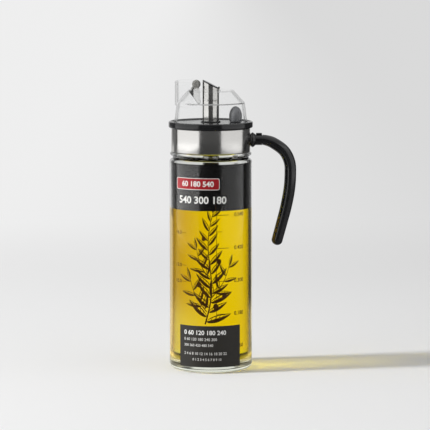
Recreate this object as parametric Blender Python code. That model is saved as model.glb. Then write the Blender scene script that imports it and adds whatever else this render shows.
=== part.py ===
"""A glass oil and vinegar dispenser with a steel collar, a hooked side handle and a lift-off pouring lid.

The origin is the centre of the bottle's flat underside, on the bottle's axis. +Z is up, +X points to the
handle and -X is the side it pours to. Everything is in metres.

The bottle carries the collar, its liner and the handle. The lid pushes into the neck on a ribbed seal and
carries the spout, which stands through a clear cover. A thin flap closes the slanted mouth of the spout,
and a small clear lever on the cover bears against the spout.
"""

import math

import bmesh
import bpy
from mathutils import Vector

# Fits and cuts
gap = 0.0003
pin_gap = 0.00015
cut_overrun = 0.003
merge_distance = 0.000001

# How finely round shapes are cut
large_sides = 48
hidden_sides = 36
tube_sides = 28
small_sides = 16
pin_sides = 12
arc_steps = 4
smooth_angle = math.radians(35)

# Bottle
body_radius = 0.038
body_wall = 0.0025
base_thickness = 0.0075
foot_rounding = 0.0045
floor_rounding = 0.005
floor_crown = 0.0008
body_height = 0.1945
shoulder_rise = 0.003
groove_depth = 0.003
groove_height = 0.003
bead_setback = 0.0007
bead_height = 0.0028
bead_rounding = 0.0011
neck_setback = 0.0045
neck_wall = 0.0025
neck_height = 0.0187
rim_rounding = 0.0009
throat_height = 0.0062
throat_steps = 6

# Collar and its liner
collar_standoff = 0.0029
collar_wall = 0.0008
collar_height = 0.0219
collar_lip_width = 0.0022

# Handle and what fastens it
handle_lift = 0.0108
boss_radius = 0.0069
boss_seat_radius = 0.0057
boss_face_radius = 0.0052
boss_thickness = 0.0043
boss_rim_shares = (0.3, 0.48)
ferrule_radius = 0.00495
ferrule_wall = 0.0007
ferrule_length = 0.006
ferrule_edge = 0.0003
tab_height = 0.0014
tab_half_width = 0.0024
tab_end_room = 0.0003
tab_edge = 0.0004
handle_reach = 0.0369
handle_drop = 0.093
handle_peg_radius = 0.0039
handle_neck_radius = 0.00475
handle_half_depth = 0.0054
handle_half_width = 0.0063
handle_tip_half_depth = 0.0051
handle_tip_half_width = 0.0057
handle_tip_length = 0.0046
handle_route_shares = (
    (0.42, 0.008),
    (0.585, 0.034),
    (0.842, 0.111),
    (0.978, 0.219),
    (1.0, 0.338),
    (0.975, 0.49),
    (0.894, 0.665),
    (0.785, 0.833),
    (0.672, 1.0),
)
handle_swell_share = 0.3
handle_taper_share = 0.75
handle_steps = 3
screw_radius = 0.002
screw_length = 0.0155
screw_head_radius = 0.0035
screw_head_height = 0.0012

# Lid flange
flange_overhang = 0.0024
flange_thickness = 0.005
flange_rounding = 0.0014
flange_lip_height = 0.0008
flange_lip_width = 0.0026
cover_groove_depth = 0.0012

# Plug under the flange, with its seal and gasket
plug_seal_room = 0.0026
plug_wall = 0.002
plug_depth = 0.0138
plug_plate_thickness = 0.0027
rim_gasket_width = 0.003
plug_foot_width = 0.0015
plug_foot_height = 0.0015
seal_wall = 0.0008
seal_rib_height = 0.0016
seal_rib_shares = (0.25, 0.75)

# Spout tube, its bush, ring and nut
spout_radius = 0.0076
spout_wall = 0.0008
spout_rise = 0.0378
spout_depth = 0.0418
spout_slope = math.radians(27.2)
bush_wall = 0.0011
bush_lip_width = 0.0005
bush_lip_height = 0.0011
ring_radius = 0.00085
nut_half_width = 0.0115
nut_height = 0.004
nut_sides = 6

# Flap on the spout's mouth
flap_thickness = 0.0008
flap_margin = 0.0002
knuckle_radius = 0.001
knuckle_half_width = 0.0015
lug_thickness = 0.0008
lug_foot = 0.0026
flap_pin_radius = 0.0004
flap_sides = 24

# Air valve and the tube under it
valve_inset = 0.0056
valve_radius = 0.0059
valve_foot_radius = 0.0055
valve_height = 0.0142
valve_waist_share = 0.36
valve_sides = 24
valve_neck_radius = 0.0029
valve_bore_radius = 0.0012
air_tube_radius = 0.0025
air_tube_wall = 0.0008
air_tube_head_radius = 0.0034
air_tube_head_height = 0.0009
air_tube_depth = 0.038

# Clear cover
cover_inset = 0.005
cover_foot_lean = 0.0023
cover_crease_height = 0.0179
cover_top_height = 0.0296
cover_wall = 0.0016
cover_hole_room = 0.0019
cover_top_width = 0.0117
guard_setback = 0.0007
guard_wall = 0.0018
guard_root = 0.0037
guard_half_angle = math.radians(60)
guard_steps = 16
ear_radius = 0.0019
ear_thickness = 0.0015

# Lever on the cover
lever_reach = 0.008
lever_pivot_rise = 0.0014
lever_half_width = 0.0026
lever_pin_radius = 0.0008
lever_hub_radius = 0.0021
lever_edge = 0.0005
knob_radius = 0.0036
knob_lean = 0.0019
knob_rise = 0.0041
nose_radius = 0.0016
nose_lean = 0.0045
nose_drop = 0.0128
shoulder_lean = 0.0033
lever_shoulder_drop = 0.0026
lever_shoulder_radius = 0.0012
lever_slot_back = 0.0068

# Places that follow from the sizes
body_bore_radius = body_radius - body_wall
groove_radius = body_radius - groove_depth
bead_radius = body_radius - bead_setback
neck_radius = body_radius - neck_setback
neck_bore_radius = neck_radius - neck_wall
collar_radius = neck_radius + collar_standoff
flange_radius = collar_radius + flange_overhang
plug_radius = neck_bore_radius - plug_seal_room
plug_plate_radius = neck_radius - rim_gasket_width
valve_offset = plug_radius - valve_inset
cover_foot_radius = flange_radius - cover_inset
cover_crease_radius = cover_foot_radius - cover_foot_lean
cover_hole_radius = spout_radius + cover_hole_room
cover_top_radius = cover_hole_radius + cover_top_width
guard_radius = cover_foot_radius - guard_setback
lever_offset = spout_radius + lever_reach
groove_top = body_height + groove_height
bead_top = groove_top + bead_height
bottle_rim = bead_top + neck_height
collar_bottom = bead_top + gap
collar_top = collar_bottom + collar_height
handle_level = collar_bottom + handle_lift
flange_bottom = collar_top + gap
plate_level = flange_bottom + flange_thickness
plug_top = flange_bottom - gap
plug_plate_bottom = plug_top - plug_plate_thickness
plug_bottom = plug_plate_bottom - plug_depth
bush_radius = spout_radius + gap + bush_wall
spout_bottom = plate_level - spout_depth
spout_tip = plate_level + spout_rise
mouth_level = spout_tip - spout_radius * math.tan(spout_slope)
cover_foot = plate_level - cover_groove_depth + gap
cover_crease = plate_level + cover_crease_height
cover_top = plate_level + cover_top_height
lever_pivot = Vector((-lever_offset, 0, cover_top + lever_pivot_rise))
lever_slot_half_width = lever_half_width + gap * 2
boss_face = collar_radius + gap + boss_thickness
ferrule_start = boss_face + gap
ferrule_end = ferrule_start + ferrule_length
screw_start = neck_radius + gap * 2

# Finishes: colour, roughness, metallic value and how much light passes
finishes = {
    "clear_glass": ((0.93, 0.97, 0.95), 0.03, 0.0, 0.9),
    "clear_plastic": ((0.95, 0.97, 0.97), 0.05, 0.0, 0.9),
    "brushed_steel": ((0.62, 0.61, 0.59), 0.28, 1.0, 0.0),
    "dark_steel": ((0.1, 0.1, 0.1), 0.3, 1.0, 0.0),
    "gloss_black": ((0.012, 0.012, 0.013), 0.16, 0.0, 0.0),
    "satin_black": ((0.016, 0.016, 0.017), 0.38, 0.0, 0.0),
    "black_silicone": ((0.02, 0.02, 0.02), 0.6, 0.0, 0.0),
    "grey_silicone": ((0.11, 0.11, 0.12), 0.42, 0.0, 0.0),
    "white_silicone": ((0.8, 0.8, 0.78), 0.55, 0.0, 0.0),
}


def clear_scene():
    for thing in list(bpy.data.objects):
        bpy.data.objects.remove(thing, do_unlink=True)


def finish_named(name):
    """The finish as a material, made at its first use."""
    material = bpy.data.materials.get(name)
    if material:
        return material
    colour, roughness, metallic, passing = finishes[name]
    material = bpy.data.materials.new(name)
    material.use_nodes = True
    shader = material.node_tree.nodes["Principled BSDF"]
    shader.inputs["Base Color"].default_value = (*colour, 1)
    shader.inputs["Roughness"].default_value = roughness
    shader.inputs["Metallic"].default_value = metallic
    shader.inputs["Transmission Weight"].default_value = passing
    return material


def placed(name, work, finish):
    """Turns a bmesh into an object with outward faces, smooth where it is round."""
    bmesh.ops.recalc_face_normals(work, faces=work.faces)
    mesh = bpy.data.meshes.new(name)
    work.to_mesh(mesh)
    work.free()
    mesh.shade_smooth()
    mesh.set_sharp_from_angle(angle=smooth_angle)
    thing = bpy.data.objects.new(name, mesh)
    bpy.context.scene.collection.objects.link(thing)
    if finish:
        mesh.materials.append(finish_named(finish))
    else:
        thing.hide_render = True
        thing.display_type = "WIRE"
    return thing


def arc(centre, radii, start, end, steps=arc_steps):
    """Points on an arc or a stretch of an ellipse, from one angle in degrees to another."""
    wide, high = radii
    angles = [math.radians(start + (end - start) * step / steps) for step in range(steps + 1)]
    return [(centre[0] + wide * math.cos(a), centre[1] + high * math.sin(a)) for a in angles]


def turned(name, outline, sides, finish):
    """Spins an outline of (radius, height) points round the Z axis. Ends on the axis aren't joined."""
    work = bmesh.new()
    corners = [work.verts.new((radius, 0, height)) for radius, height in outline]
    ends_on_axis = outline[0][0] == 0 and outline[-1][0] == 0
    following = corners[1:] if ends_on_axis else corners[1:] + corners[:1]
    edges = [work.edges.new(pair) for pair in zip(corners, following)]
    bmesh.ops.spin(work, geom=corners + edges, axis=(0, 0, 1), angle=math.tau, steps=sides)
    bmesh.ops.remove_doubles(work, verts=work.verts, dist=merge_distance)
    return placed(name, work, finish)


def lofted(name, rings, finish):
    """Skins rings of equally many points and fills the first and the last."""
    work = bmesh.new()
    loops = [[work.verts.new(point) for point in ring] for ring in rings]
    for lower, upper in zip(loops, loops[1:]):
        for here, there in zip(range(len(lower)), [*range(1, len(lower)), 0]):
            work.faces.new((lower[here], lower[there], upper[there], upper[here]))
    work.faces.new(loops[0])
    work.faces.new(loops[-1])
    return placed(name, work, finish)


def half_turned(sides):
    """Angles round a bar that leave a flat side, not a corner, on each axis."""
    return [math.tau * (side + 0.5) / sides for side in range(sides)]


def upright_ring(radius, height, sides, centre=(0, 0)):
    """A level ring of points, for a round bar along Z."""
    x, y = centre
    return [(x + radius * math.cos(t), y + radius * math.sin(t), height) for t in half_turned(sides)]


def round_bar_z(name, radius, low, high, sides, finish=None, centre=(0, 0)):
    rings = [upright_ring(radius, height, sides, centre) for height in (low, high)]
    return lofted(name, rings, finish)


def round_bar_x(name, stations, level, sides, finish=None):
    """A round bar along X. stations are (x, radius) pairs, and level is the height of its centre line."""
    turns = half_turned(sides)
    rings = [
        [(x, radius * math.cos(t), level + radius * math.sin(t)) for t in turns] for x, radius in stations
    ]
    return lofted(name, rings, finish)


def side_plate(name, outline, near, far, finish=None, edge=0):
    """Extrudes an outline of (x, z) points along Y, from near to far. edge, if given, bevels its rims."""
    if not edge:
        rings = [[(x, y, z) for x, z in outline] for y in (near, far)]
        return lofted(name, rings, finish)
    drawn_in = inset(outline, edge)
    rings = [
        [(x, near, z) for x, z in drawn_in],
        [(x, near + edge, z) for x, z in outline],
        [(x, far - edge, z) for x, z in outline],
        [(x, far, z) for x, z in drawn_in],
    ]
    return lofted(name, rings, finish)


def inset(outline, distance):
    """A closed outline, listed anticlockwise, moved inwards by a distance."""
    moved = []
    for before, here, after in zip(outline[-1:] + outline[:-1], outline, outline[1:] + outline[:1]):
        moved.append(mitred(before, here, after, distance))
    return moved


def mitred(before, here, after, distance):
    """The corner at here, moved to the left of both of its edges by a distance."""
    arriving = Vector((here[0] - before[0], here[1] - before[1])).normalized()
    leaving = Vector((after[0] - here[0], after[1] - here[1])).normalized()
    left_of_arriving = Vector((-arriving.y, arriving.x))
    left_of_leaving = Vector((-leaving.y, leaving.x))
    middle = (left_of_arriving + left_of_leaving).normalized()
    reach = distance / middle.dot(left_of_arriving)
    return here[0] + middle.x * reach, here[1] + middle.y * reach


def shell_outline(outer, wall):
    """A wall's closed outline: the points of its outer side, then the same side moved inwards."""
    closed = [outer[0]] + outer + [outer[-1]]
    inner = []
    for here in range(1, len(closed) - 1):
        if here == 1:
            before = (closed[1][0] * 2 - closed[2][0], closed[1][1] * 2 - closed[2][1])
        else:
            before = closed[here - 1]
        if here == len(closed) - 2:
            after = (closed[here][0] * 2 - before[0], closed[here][1] * 2 - before[1])
        else:
            after = closed[here + 1]
        inner.append(mitred(before, closed[here], after, wall))
    return outer + inner[::-1]


def change(thing, other, operation):
    modifier = thing.modifiers.new(other.name, "BOOLEAN")
    modifier.operation = operation
    modifier.object = other
    modifier.solver = "EXACT"


def cut(thing, *cutters):
    for cutter in cutters:
        change(thing, cutter, "DIFFERENCE")


def fuse(thing, *others):
    for other in others:
        change(thing, other, "UNION")


def smooth_route(points, steps):
    """A Catmull-Rom curve through (x, z) points, with its ends doubled."""
    padded = [points[0]] + points + [points[-1]]
    route = []
    for a, b, c, d in zip(padded, padded[1:], padded[2:], padded[3:]):
        for step in range(steps):
            t = step / steps
            route.append(tuple(blend_four(a[i], b[i], c[i], d[i], t) for i in range(2)))
    route.append(points[-1])
    return route


def blend_four(a, b, c, d, t):
    rise = (c - a) / 2
    fall = (d - b) / 2
    bend = 3 * (c - b) - 2 * rise - fall
    twist = 2 * (b - c) + rise + fall
    return b + t * (rise + t * (bend + t * twist))


def make_bottle():
    rise = [(neck_bore_radius, groove_top)]
    for step in range(1, throat_steps + 1):
        share = step / throat_steps
        widening = (body_bore_radius - neck_bore_radius) * (1 - math.cos(math.pi * share)) / 2
        rise.append((neck_bore_radius + widening, groove_top - throat_height * share))
    bead_inside = bead_radius - bead_rounding
    bead_radii = (bead_rounding, bead_rounding)
    rim_radii = (rim_rounding, rim_rounding)
    shoulder_radii = (body_radius - groove_radius, shoulder_rise)
    outline = (
        [(0, 0)]
        + arc((body_radius - foot_rounding, foot_rounding), (foot_rounding, foot_rounding), -90, 0)
        + arc((groove_radius, body_height - shoulder_rise), shoulder_radii, 0, 90)
        + [(groove_radius, groove_top)]
        + arc((bead_inside, groove_top + bead_rounding), bead_radii, -90, 0, 2)
        + arc((bead_inside, bead_top - bead_rounding), bead_radii, 0, 90, 2)
        + [(neck_radius, bead_top)]
        + arc((neck_radius - rim_rounding, bottle_rim - rim_rounding), rim_radii, 0, 90, 2)
        + arc((neck_bore_radius + rim_rounding, bottle_rim - rim_rounding), rim_radii, 90, 180, 2)
        + rise
        + arc(
            (body_bore_radius - floor_rounding, base_thickness + floor_rounding),
            (floor_rounding, floor_rounding),
            0,
            -90,
        )
        + [(0, base_thickness + floor_crown)]
    )
    return turned("glass_bottle", outline, large_sides, "clear_glass")


def make_collar():
    bore = collar_radius - collar_wall
    lip = collar_radius - collar_lip_width
    outline = [
        (lip, collar_bottom),
        (collar_radius - collar_wall, collar_bottom),
        (collar_radius, collar_bottom + collar_wall),
        (collar_radius, collar_top),
        (bore, collar_top),
        (bore, collar_bottom + collar_wall),
        (lip, collar_bottom + collar_wall),
    ]
    collar = turned("steel_collar", outline, large_sides, "brushed_steel")
    reach = [(bore - cut_overrun, screw_radius + gap), (collar_radius + cut_overrun, screw_radius + gap)]
    cut(collar, round_bar_x("collar_screw_cut", reach, handle_level, small_sides))

    inner = neck_radius + gap
    outer = bore - gap
    low = collar_bottom + collar_wall + gap
    outline = [(inner, low), (outer, low), (outer, collar_top), (inner, collar_top)]
    liner = turned("collar_liner", outline, hidden_sides, "satin_black")
    window = screw_head_radius + gap
    reach = [(inner - cut_overrun, window), (outer + cut_overrun, window)]
    cut(liner, round_bar_x("liner_window_cut", reach, handle_level, small_sides))


def handle_section(share):
    """Half the depth and half the width of the handle at a share of its length."""
    swell = min(share / handle_swell_share, 1)
    swell = swell * swell * (3 - 2 * swell)
    taper = max((share - handle_taper_share) / (1 - handle_taper_share), 0)
    depth = handle_neck_radius + (handle_half_depth - handle_neck_radius) * swell
    width = handle_neck_radius + (handle_half_width - handle_neck_radius) * swell
    depth += (handle_tip_half_depth - handle_half_depth) * taper
    width += (handle_tip_half_width - handle_half_width) * taper
    return depth, width


def handle_ring(centre, heading, depth, width):
    """A ring across the handle. heading is the (x, z) way its centre line runs."""
    across = Vector((-heading.y, heading.x))
    ring = []
    for side in range(small_sides):
        turn = math.tau * side / small_sides
        out = depth * math.cos(turn)
        ring.append((centre[0] + across.x * out, width * math.sin(turn), centre[1] + across.y * out))
    return ring


def make_handle():
    """A peg through the ferrule, then a shoulder, from which the hook is swept."""
    peg_end = ferrule_end + gap
    bends = [(peg_end, handle_level)]
    for out, down in handle_route_shares:
        bends.append((collar_radius + handle_reach * out, handle_level - handle_drop * down))
    route = smooth_route(bends, handle_steps)
    level = Vector((1, 0))
    rings = [
        handle_ring((x, handle_level), level, handle_peg_radius, handle_peg_radius)
        for x in (ferrule_start, peg_end)
    ]
    for here, centre in enumerate(route):
        before = route[max(here - 1, 0)]
        after = route[min(here + 1, len(route) - 1)]
        heading = Vector((after[0] - before[0], after[1] - before[1])).normalized()
        depth, width = handle_section(here / (len(route) - 1))
        rings.append(handle_ring(centre, heading if here else level, depth, width))
    for step in range(1, arc_steps + 1):
        turn = math.pi / 2 * step / (arc_steps + 1)
        ahead = handle_tip_length * math.sin(turn)
        centre = (route[-1][0] + heading.x * ahead, route[-1][1] + heading.y * ahead)
        rings.append(handle_ring(centre, heading, depth * math.cos(turn), width * math.cos(turn)))
    handle = lofted("handle", rings, "satin_black")
    bore_end = screw_start + screw_head_height + screw_length + gap
    reach = [(boss_face - cut_overrun, screw_radius + gap), (bore_end, screw_radius + gap)]
    cut(handle, round_bar_x("handle_bore_cut", reach, handle_level, small_sides))


def make_handle_fixing():
    """A boss with a coned rim seated on the collar, a ferrule with a raised tab on top, and the screw."""
    boss_back = collar_radius - boss_thickness
    rim_start, rim_end = (collar_radius + gap + boss_thickness * share for share in boss_rim_shares)
    stations = [
        (boss_back, boss_seat_radius),
        (collar_radius + gap, boss_seat_radius),
        (rim_start, boss_radius),
        (rim_end, boss_radius),
        (boss_face, boss_face_radius),
    ]
    boss = round_bar_x("handle_boss", stations, handle_level, tube_sides, "satin_black")
    seat_low = handle_level - boss_radius - cut_overrun
    seat_high = handle_level + boss_radius + cut_overrun
    seat = round_bar_z("boss_seat_cut", collar_radius + gap, seat_low, seat_high, large_sides)
    reach = [(boss_back, screw_radius + gap), (boss_face + cut_overrun, screw_radius + gap)]
    bore = round_bar_x("boss_bore_cut", reach, handle_level, small_sides)
    cut(boss, seat, bore)

    stations = [
        (ferrule_start, ferrule_radius),
        (ferrule_end - ferrule_edge, ferrule_radius),
        (ferrule_end, ferrule_radius - ferrule_edge),
    ]
    ferrule = round_bar_x("handle_ferrule", stations, handle_level, tube_sides, "gloss_black")
    bore = ferrule_radius - ferrule_wall
    low, high = handle_level + bore, handle_level + ferrule_radius + tab_height
    back, front = ferrule_start + tab_end_room, ferrule_end - tab_end_room
    outline = [(back, low), (front, low), (front, high), (back, high)]
    fuse(ferrule, side_plate("ferrule_tab", outline, -tab_half_width, tab_half_width, None, tab_edge))
    reach = [(ferrule_start - cut_overrun, bore), (ferrule_end + cut_overrun, bore)]
    cut(ferrule, round_bar_x("ferrule_bore_cut", reach, handle_level, tube_sides))

    head_end = screw_start + screw_head_height
    stations = [
        (screw_start, screw_head_radius),
        (head_end, screw_head_radius),
        (head_end, screw_radius),
        (head_end + screw_length, screw_radius),
    ]
    round_bar_x("handle_screw", stations, handle_level, small_sides, "brushed_steel")


def make_flange():
    top = plate_level + flange_lip_height
    lip_inside = flange_radius - flange_lip_width
    rounded = flange_radius - flange_rounding
    groove_out = cover_foot_radius + gap
    groove_in = cover_foot_radius - cover_wall - gap * 2
    groove_floor = plate_level - cover_groove_depth
    hole = bush_radius + gap
    outline = (
        [(hole, flange_bottom)]
        + arc((rounded, flange_bottom + flange_rounding), (flange_rounding, flange_rounding), -90, 0)
        + arc((rounded, top - flange_rounding), (flange_rounding, flange_rounding), 0, 90)
        + [
            (lip_inside + flange_lip_height, top),
            (lip_inside, plate_level),
            (groove_out, plate_level),
            (groove_out, groove_floor),
            (groove_in, groove_floor),
            (groove_in, plate_level),
            (hole, plate_level),
        ]
    )
    flange = turned("lid_flange", outline, large_sides, "gloss_black")
    low = flange_bottom - cut_overrun
    high = plate_level + cut_overrun
    hole = valve_neck_radius + gap
    cut(flange, round_bar_z("valve_hole_cut", hole, low, high, small_sides, centre=(valve_offset, 0)))


def make_plug():
    bore = plug_radius - plug_wall
    foot = plug_radius + plug_foot_width
    ring_room = spout_radius + ring_radius * 2 + gap * 2
    ring_floor = plug_top - ring_radius * 2 - gap
    hole = spout_radius + gap
    outline = [
        (bore, plug_bottom),
        (foot, plug_bottom),
        (foot, plug_bottom + plug_foot_height),
        (plug_radius, plug_bottom + plug_foot_height),
        (plug_radius, plug_plate_bottom),
        (plug_plate_radius, plug_plate_bottom),
        (plug_plate_radius, plug_top),
        (ring_room, plug_top),
        (ring_room, ring_floor),
        (hole, ring_floor),
        (hole, plug_plate_bottom),
        (bore, plug_plate_bottom),
    ]
    plug = turned("lid_plug", outline, hidden_sides, "satin_black")
    low = plug_plate_bottom - cut_overrun
    high = plug_top + cut_overrun
    seat = plug_top - air_tube_head_height - gap * 2
    at_valve = (valve_offset, 0)
    hole = air_tube_radius + gap
    hole = round_bar_z("air_tube_hole_cut", hole, low, high, small_sides, centre=at_valve)
    recess = air_tube_head_radius + gap
    recess = round_bar_z("air_tube_seat_cut", recess, seat, high, small_sides, centre=at_valve)
    cut(plug, hole, recess)


def make_plug_seals():
    low = plug_bottom + plug_foot_height + gap
    high = plug_plate_bottom - gap
    inner = plug_radius + gap
    wall = inner + seal_wall
    rib = neck_bore_radius - gap
    outline = [(inner, low), (wall, low)]
    for share in seal_rib_shares:
        middle = low + (high - low) * share
        half = seal_rib_height / 2
        outline += [(wall, middle - half), (rib, middle), (wall, middle + half)]
    outline += [(wall, high), (inner, high)]
    turned("plug_seal", outline, hidden_sides, "white_silicone")

    inner = plug_plate_radius + gap
    low = bottle_rim + gap
    outline = [(inner, low), (neck_radius, low), (neck_radius, plug_top), (inner, plug_top)]
    turned("rim_gasket", outline, hidden_sides, "white_silicone")


def make_spout():
    """The tube: its slanted mouth is cut first, then the lugs of the flap are fused on and drilled."""
    inner = spout_radius - spout_wall
    reach = spout_tip + cut_overrun
    outline = [(inner, spout_bottom), (spout_radius, spout_bottom), (spout_radius, reach), (inner, reach)]
    tube = turned("spout_tube", outline, tube_sides, "brushed_steel")
    wide = spout_radius + cut_overrun
    slant = wide * math.tan(spout_slope)
    above = reach + cut_overrun
    outline = [(-wide, mouth_level + slant), (wide, mouth_level - slant), (wide, above), (-wide, above)]
    mouth = side_plate("mouth_cut", outline, -wide, wide)
    cut(tube, mouth)

    pivot = flap_pivot()
    foot = mouth_level - spout_radius * math.tan(spout_slope) - lug_foot
    chord = math.sqrt(spout_radius**2 - (knuckle_half_width + gap + lug_thickness) ** 2)
    outline = [(chord - spout_wall, foot), (chord, foot)]
    outline += arc((pivot.x, pivot.z), (knuckle_radius, knuckle_radius), 0, 180, arc_steps * 2)
    for side in (-1, 1):
        near = side * (knuckle_half_width + gap)
        far = near + side * lug_thickness
        fuse(tube, side_plate(f"lug_{side + 1}", outline, near, far))
    hole = flap_pin_radius + pin_gap
    cut(tube, pin_along_y("lug_cut", pivot, hole, spout_radius, None))


def flap_pivot():
    """The hinge of the flap: over the low side of the mouth, clear of the slanted cut."""
    x = spout_radius - pin_gap
    z = mouth_level - x * math.tan(spout_slope) + (knuckle_radius + gap) / math.cos(spout_slope)
    return Vector((x, 0, z))


def pin_along_y(name, middle, radius, half_length, finish, sides=pin_sides):
    turns = [math.tau * side / sides for side in range(sides)]
    rings = [
        [(middle.x + radius * math.cos(t), y, middle.z + radius * math.sin(t)) for t in turns]
        for y in (-half_length, half_length)
    ]
    return lofted(name, rings, finish)


def make_spout_fittings():
    lip = bush_radius + bush_lip_width
    inner = spout_radius + gap
    low = flange_bottom + gap
    outline = [
        (inner, low),
        (bush_radius, low),
        (bush_radius, plate_level + gap),
        (lip, plate_level + gap),
        (lip, plate_level + gap + bush_lip_height / 2),
        (bush_radius, plate_level + gap + bush_lip_height),
        (inner, plate_level + gap + bush_lip_height),
    ]
    turned("spout_bush", outline, tube_sides, "black_silicone")

    middle = (spout_radius + gap + ring_radius, plug_top - ring_radius - gap / 2)
    outline = arc(middle, (ring_radius, ring_radius), 0, 360, 8)[:-1]
    turned("spout_ring", outline, tube_sides, "black_silicone")

    high = plug_plate_bottom - gap
    low = high - nut_height
    corner = nut_half_width / math.cos(math.pi / nut_sides)
    nut = round_bar_z("spout_nut", corner, low, high, nut_sides, "brushed_steel")
    bore = spout_radius + gap
    cut(nut, round_bar_z("nut_bore_cut", bore, low - cut_overrun, high + cut_overrun, tube_sides))


def make_flap():
    """The flap lies along the slanted mouth: -X in its own frame runs up the slope from its hinge."""
    pivot = flap_pivot()
    to_middle = Vector((-pivot.x, 0, mouth_level - pivot.z))
    along = to_middle.x * math.cos(spout_slope) - to_middle.z * math.sin(spout_slope)
    below = to_middle.x * math.sin(spout_slope) + to_middle.z * math.cos(spout_slope)
    half_length = spout_radius / math.cos(spout_slope) + flap_margin
    half_width = spout_radius + flap_margin
    edge = -knuckle_radius - gap
    low = below + gap
    high = low + flap_thickness
    outline = []
    for side in range(flap_sides):
        turn = math.tau * side / flap_sides
        x = along + half_length * math.cos(turn)
        outline.append((min(x, edge), half_width * math.sin(turn)))
    kept = [point for here, point in enumerate(outline) if point != outline[here - 1]]
    rings = [[(x, y, z) for x, y in kept] for z in (low, high)]
    flap = lofted("spout_flap", rings, "dark_steel")
    knuckle = pin_along_y("knuckle", Vector((0, 0, 0)), knuckle_radius, knuckle_half_width, None)
    outline = [(edge * 2, low), (0, low), (0, high), (edge * 2, high)]
    arm = side_plate("knuckle_arm", outline, -knuckle_half_width, knuckle_half_width)
    hole = pin_along_y("knuckle_cut", Vector((0, 0, 0)), flap_pin_radius + pin_gap, spout_radius, None)
    fuse(flap, arm, knuckle)
    cut(flap, hole)
    for thing in (flap, knuckle, arm, hole):
        thing.location = pivot
        thing.rotation_euler = (0, spout_slope, 0)
    half_length = knuckle_half_width + gap * 2 + lug_thickness
    pin_along_y("flap_pin", pivot, flap_pin_radius, half_length, "brushed_steel")


def make_air_valve():
    waist = plate_level + gap + valve_height * valve_waist_share
    top = plate_level + gap + valve_height
    low = flange_bottom + gap
    outline = (
        [(0, waist), (valve_bore_radius, waist - valve_bore_radius), (valve_bore_radius, low)]
        + [(valve_neck_radius, low), (valve_neck_radius, plate_level + gap)]
        + [(valve_foot_radius, plate_level + gap)]
        + arc((0, waist), (valve_radius, top - waist), 0, 90, arc_steps * 2)[:-1]
        + [(0, top)]
    )
    valve = turned("air_valve", outline, valve_sides, "grey_silicone")
    valve.location.x = valve_offset

    high = plug_top - gap
    low = plate_level - air_tube_depth
    inner = air_tube_radius - air_tube_wall
    outline = [
        (inner, low),
        (air_tube_radius, low),
        (air_tube_radius, high - air_tube_head_height),
        (air_tube_head_radius, high - air_tube_head_height),
        (air_tube_head_radius, high),
        (inner, high),
    ]
    tube = turned("air_tube", outline, small_sides, "white_silicone")
    tube.location.x = valve_offset


def make_cover():
    """A turned clear shell with a curved guard, a slot for the lever and two drilled ears for its pin."""
    outer = [
        (cover_foot_radius, cover_foot),
        (cover_crease_radius, cover_crease),
        (cover_top_radius, cover_top),
        (cover_hole_radius, cover_top),
    ]
    cover = turned("clear_cover", shell_outline(outer, cover_wall), large_sides, "clear_plastic")

    top = spout_tip
    low = cover_crease - guard_root
    rings = []
    for step in range(guard_steps + 1):
        turn = math.pi + guard_half_angle * (step * 2 / guard_steps - 1)
        away = Vector((math.cos(turn), math.sin(turn), 0))
        corners = ((guard_radius - guard_wall, low), (guard_radius, low + guard_wall))
        corners += ((guard_radius, top), (guard_radius - guard_wall, top))
        rings.append([away * radius + Vector((0, 0, height)) for radius, height in corners])
    fuse(cover, lofted("guard", rings, None))

    foot = cover_top - cover_wall / 2
    x, z = lever_pivot.x, lever_pivot.z
    outline = [(x - ear_radius, foot), (x + ear_radius, foot)]
    outline += arc((x, z), (ear_radius, ear_radius), 0, 180)
    reach = lever_slot_half_width + ear_thickness
    fuse(cover, side_plate("ears", outline, -reach, reach))

    low = cover_top - cover_wall - cut_overrun
    high = z + ear_radius + cut_overrun
    back = -lever_offset - lever_slot_back
    outline = [(back, low), (0, low), (0, high), (back, high)]
    cut(cover, side_plate("lever_slot_cut", outline, -lever_slot_half_width, lever_slot_half_width))
    hole = lever_pin_radius + pin_gap
    cut(cover, pin_along_y("ear_cut", lever_pivot, hole, cover_top_radius, None))


def make_lever():
    knob = (knob_lean, knob_rise)
    nose = (nose_lean, -nose_drop)
    shoulder = (-shoulder_lean, -lever_shoulder_drop)
    outline = (
        arc(nose, (nose_radius, nose_radius), 205, 380)
        + arc(knob, (knob_radius, knob_radius), -48, 212, arc_steps * 3)
        + arc((0, 0), (lever_hub_radius, lever_hub_radius), 128, 178, 2)
        + arc(shoulder, (lever_shoulder_radius, lever_shoulder_radius), 100, 205)
    )
    lever = side_plate(
        "cover_lever", outline, -lever_half_width, lever_half_width, "clear_plastic", lever_edge
    )
    hole = pin_along_y(
        "lever_cut", Vector((0, 0, 0)), lever_pin_radius + pin_gap, lever_half_width + cut_overrun, None
    )
    cut(lever, hole)
    for thing in (lever, hole):
        thing.location = lever_pivot
    half_length = lever_slot_half_width + ear_thickness + gap
    pin_along_y("lever_pin", lever_pivot, lever_pin_radius, half_length, "brushed_steel")


def pivot_empty(name, place, parent=None):
    empty = bpy.data.objects.new(name, None)
    bpy.context.scene.collection.objects.link(empty)
    empty.location = place
    empty.parent = parent
    return empty


def carry(parent, *names):
    """Hangs objects on an empty that stands where their joint does, leaving them where they are."""
    bpy.context.view_layer.update()
    for name in names:
        thing = bpy.data.objects[name]
        thing.parent = parent
        thing.matrix_parent_inverse = parent.matrix_world.inverted()


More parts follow.
